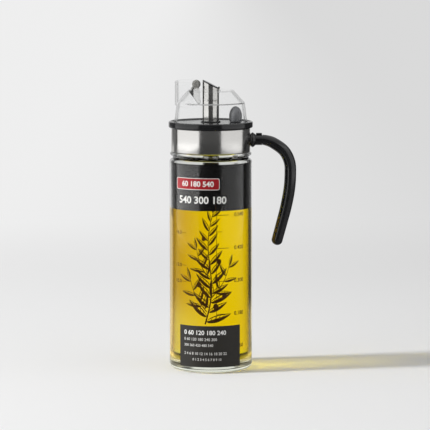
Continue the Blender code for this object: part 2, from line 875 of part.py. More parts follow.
def main():
    clear_scene()
    make_bottle()
    make_collar()
    make_handle()
    make_handle_fixing()
    make_flange()
    make_plug()
    make_plug_seals()
    make_spout()
    make_spout_fittings()
    make_flap()
    make_air_valve()
    make_cover()
    make_lever()

    lid = pivot_empty("lid_carrier", (0, 0, 0))
    carry(lid, "lid_flange", "lid_plug", "plug_seal", "rim_gasket", "spout_tube", "spout_bush")
    carry(lid, "spout_ring", "spout_nut", "flap_pin", "air_valve", "air_tube")
    cover = pivot_empty("cover_carrier", (0, 0, 0), lid)
    carry(cover, "clear_cover", "lever_pin")
    carry(lid, "spout_flap")
    carry(cover, "cover_lever")


main()
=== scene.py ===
"""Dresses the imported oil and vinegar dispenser: glass, oil, prints, metal, plastic and studio.

Lengths in the outlines are in millimetres. The bottle stands on the origin, pours to -X and has
its handle on +X. The printed front faces -Y.
"""

import math
from functools import cache

import bpy
from bpy.props import FloatProperty, FloatVectorProperty, PointerProperty
from bpy.types import Operator, Panel, PropertyGroup
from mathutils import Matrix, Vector


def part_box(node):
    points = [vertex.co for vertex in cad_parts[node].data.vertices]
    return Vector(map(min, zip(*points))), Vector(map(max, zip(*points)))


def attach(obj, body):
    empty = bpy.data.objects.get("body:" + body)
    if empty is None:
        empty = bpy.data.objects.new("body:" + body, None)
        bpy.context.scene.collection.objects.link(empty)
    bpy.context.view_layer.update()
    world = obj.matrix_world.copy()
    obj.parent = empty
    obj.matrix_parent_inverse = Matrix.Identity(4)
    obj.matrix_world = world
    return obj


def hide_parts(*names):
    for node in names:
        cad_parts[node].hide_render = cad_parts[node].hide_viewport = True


bl_info = {
    "name": "Oil and vinegar dispenser",
    "version": (1, 0, 0),
    "blender": (4, 5, 0),
    "location": "3D View > Sidebar > Dispenser",
    "description": "Glass, oil, prints, metal and plastic of the dispenser, and a plain studio",
    "category": "Object",
}

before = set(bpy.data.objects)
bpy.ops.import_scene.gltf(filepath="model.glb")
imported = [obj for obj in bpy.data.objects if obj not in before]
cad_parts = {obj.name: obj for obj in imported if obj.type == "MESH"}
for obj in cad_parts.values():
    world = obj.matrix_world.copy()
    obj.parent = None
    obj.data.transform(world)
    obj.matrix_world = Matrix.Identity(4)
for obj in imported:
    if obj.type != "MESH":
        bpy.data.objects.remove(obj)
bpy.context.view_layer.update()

MM = 0.001
SAME_POINT = 0.000001
# Sides of a turned piece: one as wide as the bottle, one like the spout, and a small one
WIDE, MIDDLE, SMALL = 160, 96, 64
# Thicknesses of the walls and of a print, and the radius of the hole for the lever's pin
GLASS_WALL, STEEL_WALL, COVER_WALL, INK = 2.5, 0.8, 1.6, 0.02
AXLE_BORE = 0.95


def extents(node):
    """A node's lowest and highest corners, in millimetres."""
    low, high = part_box(node)
    return low / MM, high / MM


BOTTLE = extents("glass_bottle")
COLLAR = extents("steel_collar")
FLANGE = extents("lid_flange")
COVER = extents("clear_cover")
SPOUT = extents("spout_tube")
VALVE = extents("air_valve")
LEVER_PIN = extents("lever_pin")
FLAP_PIN = extents("flap_pin")
FERRULE = extents("handle_ferrule")
BOSS = extents("handle_boss")
COVER_FOOT = -COVER[0].y
LID_PLATE = FLANGE[1].z - 0.8
SPOUT_SLOPE = math.radians(27.2)


# Settings


def length(name, about, default):
    return FloatProperty(
        name=name, description=about, default=default, min=0, precision=5, unit="LENGTH"
    )


def angle(name, about, degrees):
    return FloatProperty(
        name=name, description=about, default=math.radians(degrees), subtype="ANGLE"
    )


def number(name, about, default):
    return FloatProperty(name=name, description=about, default=default)


def colour(name, about, default):
    return FloatVectorProperty(
        name=name, description=about, default=default, size=3, min=0, max=1, subtype="COLOR"
    )


class OilSettings(PropertyGroup):
    level: length("Level", "Height of the oil's surface, which the dark band hides", 0.1700)
    wall_gap: length("Wall gap", "Room between the oil and the glass", 0.00025)
    # Bright, deep and pale oil are painted light and shade: bright on the lit right side, deep in
    # the shade towards the left, and pale near the foot on the left
    bright: colour("Bright oil", "Colour on the lit side", (0.97, 0.88, 0.004))
    deep: colour("Deep oil", "Colour towards the left", (0.65, 0.46, 0.005))
    pale: colour("Pale oil", "Colour at the foot on the left", (0.95, 0.95, 0.45))
    light: colour("Oil light", "Colour of the lamps' light past the oil", (0.73, 0.65, 0.20))


class PrintSettings(PropertyGroup):
    band_low: length("Band low", "Lower edge of the dark band", 0.1493)
    band_high: length("Band high", "Upper edge of the dark band", 0.1915)
    band_half: angle("Band reach", "How far the band runs to either side of the front", 100)
    inner_radius: length("Print radius", "Radius of the prints inside the glass", 0.03538)
    plaque_low: length("Plaque low", "Lower edge of the dark plaque", 0.0058)
    plaque_high: length("Plaque high", "Upper edge of the dark plaque", 0.0440)
    plaque_left: angle("Plaque left", "Left edge of the plaque, from the front", -47.4)
    plaque_right: angle("Plaque right", "Right edge of the plaque, from the front", 44.6)
    dark: colour("Band", "Colour of the band", (0.0035, 0.003, 0.003))
    slate: colour("Plaque", "Colour of the plaque", (0.026, 0.024, 0.021))
    red: colour("Red print", "Colour of the plate on the band", (0.33, 0.010, 0.016))
    pale: colour("Pale print", "Colour of the numbers and thin lines", (0.80, 0.79, 0.77))
    ink: colour("Brown ink", "Colour of the branch and the scale", (0.050, 0.020, 0.003))


class ScaleSettings(PropertyGroup):
    inner_floor: length("Inner floor", "Level from which the marks count", 0.0092)
    area: number("Bore area", "Area of the bore, in square centimetres", 39.6)
    spot: angle("Line", "Where the upright line stands, from the front", 8.5)


class StudioSettings(PropertyGroup):
    distance: length("Distance", "From the bottle's axis to the camera, along the floor", 2.2)
    height: length("Height", "Camera over the floor", 0.402)
    pitch: angle("Pitch", "How far the camera looks down", 6.748)
    lens: number("Lens", "Focal length of the camera, in millimetres", 200.93)
    aside: length("Aside", "Camera to the right of the bottle's axis", 0.0039)
    floor: colour("Floor", "Colour of the floor", (0.825, 0.825, 0.825))
    left_light: number("Left light", "Brightness of the left panel", 1.0)
    right_light: number("Right light", "Brightness of the right panel", 1.0)


class DispenserSettings(PropertyGroup):
    oil: PointerProperty(type=OilSettings)
    prints: PointerProperty(type=PrintSettings)
    scale: PointerProperty(type=ScaleSettings)
    studio: PointerProperty(type=StudioSettings)


def settings():
    return bpy.context.scene.dispenser


# Shader sums


class Socket:
    """An output socket that takes part in sums."""

    def __init__(self, palette, output):
        self.palette = palette
        self.output = output

    def maths(self, operation, *others):
        return self.palette.node("Math", (self, *others), operation=operation)["Value"]

    def __add__(self, other):
        return self.maths("ADD", other)

    __radd__ = __add__

    def __mul__(self, other):
        return self.maths("MULTIPLY", other)

    __rmul__ = __mul__

    def __sub__(self, other):
        return self.maths("SUBTRACT", other)

    def __rsub__(self, other):
        return self.palette.node("Math", (other, self), operation="SUBTRACT")["Value"]

    def __truediv__(self, other):
        return self.maths("DIVIDE", other)

    def __pow__(self, other):
        return self.maths("POWER", other)

    def __gt__(self, other):
        return self.maths("GREATER_THAN", other)

    def largest(self, other):
        return self.maths("MAXIMUM", other)

    def span(self, low, high, to_low=0.0, to_high=1.0):
        """The value from low to high, drawn smoothly onto another range and held there."""
        values = (self, low, high, to_low, to_high)
        made = self.palette.node("MapRange", values, interpolation_type="SMOOTHSTEP", clamp=True)
        return made["Result"]

    def within(self, start, full, full_end, end):
        """1 between the middle two values, and 0 beyond the outer two."""
        return self.span(start, full) * self.span(end, full_end)


class Made:
    """A node whose outputs are read by name."""

    def __init__(self, palette, node):
        self.palette = palette
        self.raw = node

    def __getitem__(self, name):
        return Socket(self.palette, self.raw.outputs[name])


class Palette:
    """A material or world, and the one way that its nodes are added."""

    def __init__(self, owner):
        owner.use_nodes = True
        self.owner = owner
        self.tree = owner.node_tree
        self.tree.nodes.clear()

    def node(self, kind, values=(), **chosen):
        """Adds a shader node with its settings. values holds its inputs, in order or by name."""
        node = self.tree.nodes.new("ShaderNode" + kind)
        for name, value in chosen.items():
            setattr(node, name, value)
        for name, value in values.items() if isinstance(values, dict) else enumerate(values):
            self.fill(node.inputs[name], value)
        return Made(self, node)

    def fill(self, socket, value):
        if isinstance(value, Socket):
            self.tree.links.new(value.output, socket)
        elif socket.type == "RGBA" and len(value) == 3:
            socket.default_value = (*value, 1)
        else:
            socket.default_value = value

    def ramp(self, factor, stops):
        """A colour ramp from (place, colour) stops."""
        made = self.node("ValToRGB", (factor,))
        elements = made.raw.color_ramp.elements
        while len(elements) < len(stops):
            elements.new(1)
        for element, (place, tint) in zip(elements, stops):
            element.position = place
            element.color = (*tint, 1)
        return made["Color"]

    def blend(self, share, first, second):
        """A mix of two colours. Its sockets go by place, because three kinds share a name."""
        made = self.node("Mix", {0: share, 6: first, 7: second}, data_type="RGBA")
        return Socket(self, made.raw.outputs[2])

    def place(self):
        return self.node("TexCoord")["Object"]

    def axes(self):
        made = self.node("SeparateXYZ", (self.place(),))
        return made["X"], made["Y"], made["Z"]

    def noise(self, scale, detail=3.0, roughness=0.5, stretch=None):
        """Fractal noise on Object coordinates, scale in ripples a metre."""
        where = self.place()
        if stretch:
            where = self.node("Mapping", {"Vector": where, "Scale": stretch})["Vector"]
        values = {"Vector": where, "Scale": scale, "Detail": detail, "Roughness": roughness}
        return self.node("TexNoise", values)["Fac"]

    def bump(self, height, strength, distance):
        values = {"Height": height, "Strength": strength, "Distance": distance}
        return self.node("Bump", values)["Normal"]

    def facing(self):
        """0 where a face looks at the eye, and 1 where it is seen edge on."""
        return self.node("LayerWeight", {"Blend": 0.5})["Facing"]

    def principled(self, values):
        return self.node("BsdfPrincipled", values)["BSDF"]

    def see_through(self, tint):
        return self.node("BsdfTransparent", {"Color": tint})["BSDF"]

    def glowing(self, tint):
        return self.node("Emission", (tint, 1.0))["Emission"]

    def mixed(self, share, first, second):
        return self.node("MixShader", (share, first, second))["Shader"]

    def surface(self, shader):
        self.node("OutputMaterial", {"Surface": shader})
        return self.owner

    def clear_solid(self, tint, bend, lamps, share, more):
        """Glass or oil: refracting for what is seen, and clear film for light from the lamps."""
        values = {
            "Base Color": tint,
            "Roughness": 0.0,
            "IOR": bend,
            "Specular Tint": (0.15, 0.15, 0.15, 1),
            "Transmission Weight": 1.0,
        }
        path = self.node("LightPath")
        passing = path["Is Shadow Ray"].largest(path["Is Diffuse Ray"]) * share
        seen = self.principled(values | more)
        return self.surface(self.mixed(passing, seen, self.see_through(lamps)))

    def thin_wall(self, tint, roughness, level, share, clear):
        """A thin clear wall: glossy plastic where the share is 1, and film where it is 0."""
        values = {
            "Base Color": tint,
            "Roughness": roughness,
            "Specular IOR Level": level,
            "Coat Weight": 1.0,
            "Coat Roughness": 0.05,
        }
        return self.surface(self.mixed(share, self.see_through(clear), self.principled(values)))


def fresh(name):
    """An empty palette for the finish of that name."""
    return Palette(bpy.data.materials.new("finish_" + name))


# Finishes


@cache
def clear_glass():
    palette = fresh("clear_glass")
    x, _, z = palette.axes()
    waves = palette.noise(26, 1.5, 0.4, (1, 1, 0.35))
    # Painted light and shade: golden beside the oil, standing in for the oil's light seen through
    # the wall, and deeper on the left as painted shade; a painted grey shade dims the bright ring
    # at the shoulder
    painted_oil_tint = palette.blend(x.span(-0.0315, -0.0355), (0.97, 0.85, 0.50), (0.98, 0.73, 0.26))
    low = palette.blend(z.span(0.007, 0.016), (0.92, 0.95, 0.84), painted_oil_tint)
    ring = z.within(0.1895, 0.1915, 0.1950, 0.1965)
    high = palette.blend(ring, (0.985, 0.990, 0.985), (0.72, 0.725, 0.715))
    # Painted glow: the thick base gathers light from all round, which would take many more bounces,
    # so it is given this emission instead
    painted_base_glow = palette.ramp(
        z.span(0.0, 0.017),
        (
            (0.0, (0.05, 0.05, 0.04)),
            (0.088, (0.17, 0.165, 0.12)),
            (0.28, (0.19, 0.18, 0.125)),
            (0.40, (0.06, 0.05, 0.012)),
            (0.66, (0.11, 0.08, 0.008)),
            (0.72, (0.15, 0.11, 0.006)),
            (0.87, (0.17, 0.13, 0.006)),
            (1.0, (0, 0, 0)),
        ),
    )
    more = {
        "Normal": palette.bump(waves, 0.05, 0.0004),
        "Emission Color": palette.blend((x * x).span(0.00048, 0.00085), (0, 0, 0), painted_base_glow),
        "Emission Strength": 1.0,
    }
    tint = palette.blend(z.span(0.1485, 0.1500), low, high)
    share = 1 - 0.8 * palette.facing() ** 3
    return palette.clear_solid(tint, 1.47, (0.96, 0.96, 0.95), share, more)


@cache
def clear_plastic():
    """Thin clear walls: seen at their edges, with painted grey lines of light and shade at the
    crease and round the top.
    """
    palette = fresh("clear_plastic")
    x, y, z = palette.axes()
    haze = palette.noise(60, 2).span(0.3, 0.7)
    front = y.span(0.004, -0.004)
    # Painted light and shade: grey lines on the front at the crease and round the top, for what
    # those bends show
    crease = z.within(0.2449, 0.2453, 0.2459, 0.2463) * x.span(-0.024, -0.020) * front
    top = z.within(0.2560, 0.2566, 0.2575, 0.2578) * x.span(0.005, 0.008) * front
    edge = palette.facing().span(0.58, 0.88, 0.010, 0.50)
    share = edge.largest(crease * 0.75).largest(top * 0.3)
    tint = palette.blend(haze, (0.26, 0.26, 0.26), (0.36, 0.36, 0.36))
    return palette.thin_wall(tint, 0.06, 1.0, share, (0.993, 0.994, 0.994))


@cache
def smoky_plastic():
    """Plastic of the lever: grey in its round head, clear in its tongue, with painted shade
    darkening it round its edges.
    """
    palette = fresh("smoky_plastic")
    x, _, z = palette.axes()
    haze = palette.noise(330, 2).span(0.35, 0.65)
    knob = palette.blend(haze, (0.22, 0.215, 0.20), (0.44, 0.435, 0.40))
    # Darker towards the right end of the head
    knob = palette.blend(x.span(-0.0125, -0.0100), knob, (0.10, 0.10, 0.095))
    # Painted shade: the colour darkens where the faces turn edge on, for the dark outline of the
    # thick plastic
    edge = palette.facing().span(0.03, 0.45)
    tint = palette.blend(edge, knob, (0.05, 0.05, 0.047))
    share = z.span(0.2575, 0.2600, 0.12, 0.80).largest(edge * 0.75)
    return palette.thin_wall(tint, 0.08, 0.8, share, (0.97, 0.97, 0.965))


@cache
def oil():
    palette = fresh("oil")
    chosen = settings().oil
    x, _, z = palette.axes()
    cloud = palette.noise(18, 2, 0.5, (1, 1, 0.5))
    # Painted light and shade: bright on the lit right, deeper towards the upper left with random
    # clouds, and painted pale near the foot on the left
    left = x.span(0.010, -0.034)
    deep = (left * z.span(0.03, 0.07) + 0.2 * (cloud - 0.5)).largest(0.0)
    painted_light_and_shade = palette.blend(deep, tuple(chosen.bright), tuple(chosen.deep))
    tint = palette.blend(left * z.span(0.085, 0.015), painted_light_and_shade, tuple(chosen.pale))
    share = 1 - 0.95 * palette.facing() ** 1.2
    return palette.clear_solid(tint, 1.36, tuple(chosen.light), share, {})


@cache
def film(name, tint, grain=0.35, roughness=0.42, level=0.2, left_coat=0.0, right_coat=0.0):
    """A printed film with a fine grain in its ink. Its varnish can be stronger on the left."""
    palette = fresh(name)
    x, _, _ = palette.axes()
    fine = palette.noise(4200, 2, 0.6)
    broad = palette.noise(120, 2)
    lighter = tuple(min(c * 1.6 + 0.002, 1) for c in tint)
    coat = x.span(0.004, -0.012, right_coat, left_coat) * x.span(-0.037, -0.022, 0.15, 1)
    values = {
        "Base Color": palette.blend(fine.span(0.35, 0.7) * grain, tint, lighter),
        "Roughness": broad.span(0.3, 0.7, roughness - 0.05, roughness + 0.05),
        "Specular IOR Level": level,
        "Coat Weight": coat,
        "Coat Roughness": 0.16,
        "Normal": palette.bump(fine, 0.08, 0.00004),
    }
    return palette.surface(palette.principled(values))


@cache
def steel(name="brushed_steel", tint=(0.70, 0.69, 0.67), roughness=0.13, lines=(1, 1, 90)):
    """Steel with fine lines left by polishing."""
    palette = fresh(name)
    brushed = palette.noise(140, 4, 0.65, lines)
    smudge = palette.noise(70, 2)
    darker = tuple(c * 0.93 for c in tint)
    values = {
        "Base Color": palette.blend(brushed.span(0.35, 0.65), darker, tint),
        "Metallic": 1.0,
        "Roughness": smudge.span(0.3, 0.7, roughness, roughness + 0.05),
        "Normal": palette.bump(brushed, 0.05, 0.00003),
    }
    return palette.surface(palette.principled(values))


@cache
def moulded(name, tint, roughness, texture):
    """Moulded plastic or rubber with a fine surface."""
    palette = fresh(name)
    fine = palette.noise(2600, 2, 0.6)
    broad = palette.noise(55, 2)
    lighter = tuple(min(c * 1.25 + 0.002, 1) for c in tint)
    values = {
        "Base Color": palette.blend(broad.span(0.3, 0.7), tint, lighter),
        "Roughness": broad.span(0.3, 0.7, roughness, roughness + 0.06),
        "Normal": palette.bump(fine, texture, 0.00005),
    }
    return palette.surface(palette.principled(values))


def gloss_black():
    return moulded("gloss_black", (0.007, 0.007, 0.008), 0.12, 0.02)


def satin_black():
    return moulded("satin_black", (0.009, 0.009, 0.010), 0.11, 0.02)


def black_silicone():
    return moulded("black_silicone", (0.014, 0.014, 0.015), 0.5, 0.12)


def grey_silicone():
    return moulded("grey_silicone", (0.150, 0.153, 0.160), 0.34, 0.05)


def white_silicone():
    return moulded("white_silicone", (0.72, 0.72, 0.70), 0.5, 0.08)


# Modelling


def deselect():
    if bpy.context.mode != "OBJECT":
        bpy.ops.object.mode_set(mode="OBJECT")
    bpy.ops.object.select_all(action="DESELECT")


def picked(*pieces):
    """Selects these pieces and no other, and makes the first of them active."""
    deselect()
    for piece in pieces:
        piece.select_set(True)
    bpy.context.view_layer.objects.active = pieces[0]


def opened(name):
    """Names the primitive that was just added and opens it with all of it selected."""
    piece = bpy.context.object
    piece.name = piece.data.name = name
    bpy.ops.object.transform_apply(location=True, rotation=True, scale=True)
    bpy.ops.object.mode_set(mode="EDIT")
    bpy.ops.mesh.select_all(action="SELECT")
    return piece


def closed():
    """Merges what lies on one point, turns the faces outwards and leaves edit mode."""
    bpy.ops.mesh.select_all(action="SELECT")
    bpy.ops.mesh.remove_doubles(threshold=2 * SAME_POINT)
    bpy.ops.mesh.normals_make_consistent(inside=False)
    bpy.ops.object.mode_set(mode="OBJECT")


def smoothed(piece, degrees=32):
    picked(piece)
    bpy.ops.object.shade_smooth_by_angle(angle=math.radians(degrees))
    return piece


def extruded(step):
    bpy.ops.mesh.extrude_region_move(TRANSFORM_OT_translate={"value": step})


def drawn(name, points):
    """A chain of edges through (x, z) points, left open in edit mode."""
    deselect()
    bpy.ops.mesh.primitive_plane_add(size=MM)
    piece = opened(name)
    bpy.ops.mesh.merge(type="CENTER")
    at = (0, 0)
    for here, (x, z) in enumerate(points):
        step = ((x - at[0]) * MM, 0, (z - at[1]) * MM)
        if here:
            extruded(step)
        else:
            bpy.ops.transform.translate(value=step)
        at = (x, z)
    bpy.ops.mesh.select_all(action="SELECT")
    return piece


def turned(name, points, around=128, at=(0, 0), smooth=32):
    """Spins an outline of (radius, height) points round the Z axis, or round one beside it."""
    piece = drawn(name, points)
    bpy.ops.mesh.spin(steps=around, angle=math.tau, center=(0, 0, 0), axis=(0, 0, 1))
    bpy.ops.mesh.select_all(action="SELECT")
    bpy.ops.transform.translate(value=(at[0] * MM, at[1] * MM, 0))
    closed()
    return smoothed(piece, smooth)


def looped(points):
    """An outline that ends where it starts."""
    return [*points, points[0]]


def faced(name, points):
    """A face inside an outline of (x, z) points, left open in edit mode."""
    piece = drawn(name, looped(points))
    bpy.ops.mesh.remove_doubles(threshold=SAME_POINT)
    bpy.ops.mesh.edge_face_add()
    return piece


def plated(name, points, near, far):
    """An outline of (x, z) points as a plate from one y to another."""
    piece = faced(name, points)
    bpy.ops.transform.translate(value=(0, near * MM, 0))
    extruded((0, (far - near) * MM, 0))
    closed()
    return piece


def rod(name, radius, long, at=(0, 0, 0), sides=40):
    """A round rod along Y, with its middle at a place."""
    deselect()
    bpy.ops.mesh.primitive_cylinder_add(
        vertices=sides,
        radius=radius * MM,
        depth=long * MM,
        location=Vector(at) * MM,
        rotation=(math.pi / 2, 0, 0),
    )
    piece = opened(name)
    closed()
    return piece


def rounded(corners, steps=6):
    """Points of an outline whose (x, z, radius) corners are rounded where the radius isn't zero."""
    points = []
    last = len(corners) - 1
    for here, (x, z, radius) in enumerate(corners):
        if not radius or here in (0, last):
            points.append((x, z))
            continue
        at = Vector((x, z))
        back = (Vector(corners[here - 1][:2]) - at).normalized()
        ahead = (Vector(corners[here + 1][:2]) - at).normalized()
        half = back.angle(ahead) / 2
        middle = at + (back + ahead).normalized() * radius / math.sin(half)
        start = at + back * radius / math.tan(half) - middle
        end = at + ahead * radius / math.tan(half) - middle
        turn = start.angle_signed(end)
        for step in range(steps + 1):
            a = -turn * step / steps
            across = middle.x + start.x * math.cos(a) - start.y * math.sin(a)
            points.append((across, middle.y + start.x * math.sin(a) + start.y * math.cos(a)))
    return points


def ringed(corners, steps=6):
    """The same for an outline that closes on itself, so that its first corner is rounded too."""
    return rounded([corners[-1], *corners, corners[0]], steps)[1:-1]


def spun_ring(name, corners, around, steps=6):
    """A ring, spun from its closed section of (radius, height, rounding) corners."""
    return turned(name, looped(ringed(corners, steps)), around)


def eased(bends):
    """A smooth run of vectors through the bends."""
    bends = [Vector(bend) for bend in bends]
    ends = [bends[0], *bends, bends[-1]]
    run = []
    for a, b, c, d in zip(ends, ends[1:], ends[2:], ends[3:]):
        rise, fall = (c - a) / 2, (d - b) / 2
        bend = 3 * (c - b) - 2 * rise - fall
        twist = 2 * (b - c) + rise + fall
        run += [b + t * (rise + t * (bend + t * twist)) for t in (s / 5 for s in range(5))]
    return [*run, bends[-1]]


def finished(piece, *changes):
    """Applies modifiers, each given as its kind and its settings, in order."""
    picked(piece)
    for kind, chosen in changes:
        modifier = piece.modifiers.new(kind.lower(), kind)
        for name, value in chosen.items():
            setattr(modifier, name, value)
        bpy.ops.object.modifier_apply(modifier=modifier.name)
    return piece


def joined_by(piece, other, operation):
    """A Boolean of two pieces. The other one is used up."""
    finished(piece, ("BOOLEAN", {"object": other, "operation": operation, "solver": "EXACT"}))
    bpy.data.objects.remove(other)
    return piece


def bevelled(piece, width, segments=3, degrees=30):
    shape = {"width": width * MM, "segments": segments, "angle_limit": math.radians(degrees)}
    return finished(piece, ("BEVEL", shape))


def inked(piece):
    """Gives a flat print its thickness."""
    return finished(piece, ("SOLIDIFY", {"thickness": INK * MM, "offset": -1}))


def lying(piece, place=(0, 0, 0), turn=(0, 0, 0)):
    """Turns a piece about the origin, moves it to a place and keeps both in its mesh."""
    picked(piece)
    piece.rotation_euler = turn
    piece.location = Vector(place) * MM
    bpy.ops.object.transform_apply(location=True, rotation=True, scale=True)
    return piece


def wrapped(piece, radius):
    """Bends a flat upright piece round the Z axis, at a radius on the front, facing -Y."""
    across = [vertex.co.x for vertex in piece.data.vertices]
    turn = (max(across) - min(across)) / (radius * MM)
    bend = {"deform_method": "BEND", "deform_axis": "Z", "angle": turn}
    finished(piece, ("SIMPLE_DEFORM", bend))
    return lying(piece, (0, -radius, 0))


def flat_plate(name, left, right, low, high, rounding=0.0, cuts=0):
    """An upright plate facing -Y, with rounded corners, sliced upright so that it can bend."""
    deselect()
    bpy.ops.mesh.primitive_plane_add(size=1, rotation=(math.pi / 2, 0, 0))
    piece = opened(name)
    bpy.ops.transform.resize(value=((right - left) * MM, 1, (high - low) * MM))
    bpy.ops.transform.translate(value=((left + right) / 2 * MM, 0, (low + high) / 2 * MM))
    if rounding:
        bpy.ops.mesh.bevel(offset=rounding * MM, affect="VERTICES", segments=8)
    sliced([left + (right - left) * cut / cuts for cut in range(1, cuts)])
    bpy.ops.object.mode_set(mode="OBJECT")
    return inked(piece)


def sliced(places):
    """Cuts the open piece upright at each x."""
    for x in places:
        bpy.ops.mesh.select_all(action="SELECT")
        bpy.ops.mesh.bisect(plane_co=(x * MM, 0, 0), plane_no=(1, 0, 0))


def merged(name, pieces):
    """Several pieces as one."""
    picked(*pieces)
    bpy.ops.object.join()
    whole = bpy.context.object
    whole.name = whole.data.name = name
    return whole


def written(words, size, place, align="CENTER", bold=0.0):
    """Plain numbers, upright on the front before they are wrapped."""
    deselect()
    bpy.ops.object.text_add()
    text = bpy.context.object.data
    text.body = words
    text.size = size * MM
    text.align_x = align
    text.align_y = "CENTER"
    text.extrude = INK * MM / 2
    text.offset = bold * MM
    text.resolution_u = 4
    bpy.ops.object.convert(target="MESH")
    return lying(bpy.context.object, (place[0], 0, place[1]), (math.pi / 2, 0, 0))


def dressed(piece, body, material, replaces=None):
    """Gives a piece its material and its body, and hides the node that it stands for."""
    piece.data.materials.clear()
    piece.data.materials.append(material)
    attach(piece, body)
    if replaces:
        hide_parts(replaces)
    return piece


# Pieces


class PieceOperator:
    """What the operators share."""

    bl_options = {"REGISTER", "UNDO"}

    def execute(self, context):
        self.make(context.scene.dispenser)
        deselect()
        return {"FINISHED"}


class MakeBottle(PieceOperator, Operator):
    """Turns the glass bottle: thick base, straight body, rounded shoulder, groove, bead and neck"""

    bl_idname = "dispenser.bottle"
    bl_label = "Glass bottle"

    shoulder, groove_top, bead_top = 194.5, 197.5, 200.3
    groove_in, bead_in, neck_in = 3, 0.7, 4.5
    throat_deep, throat_steps = 6.2, 12

    def make(self, chosen):
        radius = BOTTLE[1].x
        rim = BOTTLE[1].z
        bore = radius - GLASS_WALL
        groove, bead = radius - self.groove_in, radius - self.bead_in
        neck = radius - self.neck_in
        mouth = neck - GLASS_WALL
        throat = []
        for step in range(self.throat_steps):
            share = (step + 1) / self.throat_steps
            out = mouth + (bore - mouth) * (1 - math.cos(math.pi * share)) / 2
            throat.append((out, self.groove_top - self.throat_deep * share, 0))
        outline = rounded(
            [
                *((0, 0, 0), (radius, 0, 4.5), (radius, self.shoulder, 2.98)),
                *((groove, self.shoulder, 0), (groove, self.groove_top, 0.3)),
                *((bead, self.groove_top, 1.1), (bead, self.bead_top, 1.1)),
                *((neck, self.bead_top, 0.3), (neck, rim, 0.9)),
                *((mouth, rim, 0.9), (mouth, self.groove_top, 0)),
                *throat,
                *((bore, 7.5, 5), (0, 8.3, 0)),
            ],
            8,
        )
        bottle = turned("bottle_glass", outline, WIDE)
        dressed(bottle, "bottle", clear_glass(), "glass_bottle")


class FillOil(PieceOperator, Operator):
    """Fills the bottle with oil up to behind the dark band"""

    bl_idname = "dispenser.oil"
    bl_label = "Oil"

    def make(self, chosen):
        radius = BOTTLE[1].x - GLASS_WALL - chosen.oil.wall_gap / MM
        level = chosen.oil.level / MM
        outline = [(0, 8.6, 0), (radius, 7.8, 4.8), (radius, level, 0.4), (0, level, 0)]
        dressed(turned("oil_fill", rounded(outline, 10), WIDE), "bottle", oil())


class PrintLabels(PieceOperator, Operator):
    """Prints the dark band with its red plate, and the dark plaque near the foot"""

    bl_idname = "dispenser.labels"
    bl_label = "Band, plate and plaque"

    plate_left, plate_right = math.radians(-56.8), math.radians(13.0)
    plate_low, plate_high = 168.5, 179.2
    # Numbers, size, angle, height and, on the band, how bold they are
    band_words = (("60 180 540", 6.8, -20.5, 173.7, 0.15), ("540 300 180", 9.1, -14.0, 158.9, 0.22))
    title = ("0 60 120 180 240", 5.7, -39.4, 37.5)
    rows = (
        ("0 60 120 180 240 300", 3.6, -39.4, 31.4),
        ("300 360 420 480 540", 3.3, -39.4, 25.9),
        ("2 4 6 8 10 12 14 16 18 20 22", 3.5, -39.4, 18.2),
        ("0 1 2 3 4 5 6 7 8 9 10", 3.1, -26, 12.8),
    )

    def make(self, chosen):
        prints = chosen.prints
        pale = film("pale_print", tuple(prints.pale), 0.1, 0.5)
        self.band(prints, prints.inner_radius / MM, pale)
        self.plaque(prints, BOTTLE[1].x, pale)

    def band(self, prints, radius, pale):
        half = prints.band_half * radius
        low, high = prints.band_low / MM, prints.band_high / MM
        band = wrapped(flat_plate("dark_band", -half, half, low, high, 0.0, 90), radius)
        dressed(band, "bottle", film("band_print", tuple(prints.dark), 0.3, 0.2, 0.3, 1.0, 0.15))

        left, right = self.plate_left * radius, self.plate_right * radius
        low, high, rim = self.plate_low, self.plate_high, 0.5
        edge = flat_plate("plate_edge", left, right, low, high, 1.8, 40)
        dressed(wrapped(edge, radius + 0.03), "bottle", pale)
        plate = flat_plate("red_plate", left + rim, right - rim, low + rim, high - rim, 1.4, 40)
        red = film("red_print", tuple(prints.red), 0.3, 0.4)
        dressed(wrapped(plate, radius + 0.05), "bottle", red)
        words = [
            written(body, size, (math.radians(turn) * radius, z), bold=bold)
            for body, size, turn, z, bold in self.band_words
        ]
        dressed(wrapped(merged("band_numbers", words), radius + 0.12), "bottle", pale)

    def plaque(self, prints, radius, pale):
        left, right = prints.plaque_left * radius, prints.plaque_right * radius
        low, high = prints.plaque_low / MM, prints.plaque_high / MM
        plaque = flat_plate("dark_plaque", left, right, low, high, 0.0, 48)
        slate = film("plaque_print", tuple(prints.slate), 0.6, 0.45, 0.2, 0.4, 0.1)
        dressed(wrapped(plaque, radius + 0.04), "bottle", slate)

        def row(body, size, turn, z, bold):
            return written(body, size, (math.radians(turn) * radius, z), "LEFT", bold)

        dressed(wrapped(row(*self.title, 0.10), radius + 0.12), "bottle", pale)
        rows = [row(*line, 0.05) for line in self.rows]
        dim = film("dim_print", (0.55, 0.54, 0.52), 0.1, 0.5)
        dressed(wrapped(merged("plaque_numbers", rows), radius + 0.12), "bottle", dim)


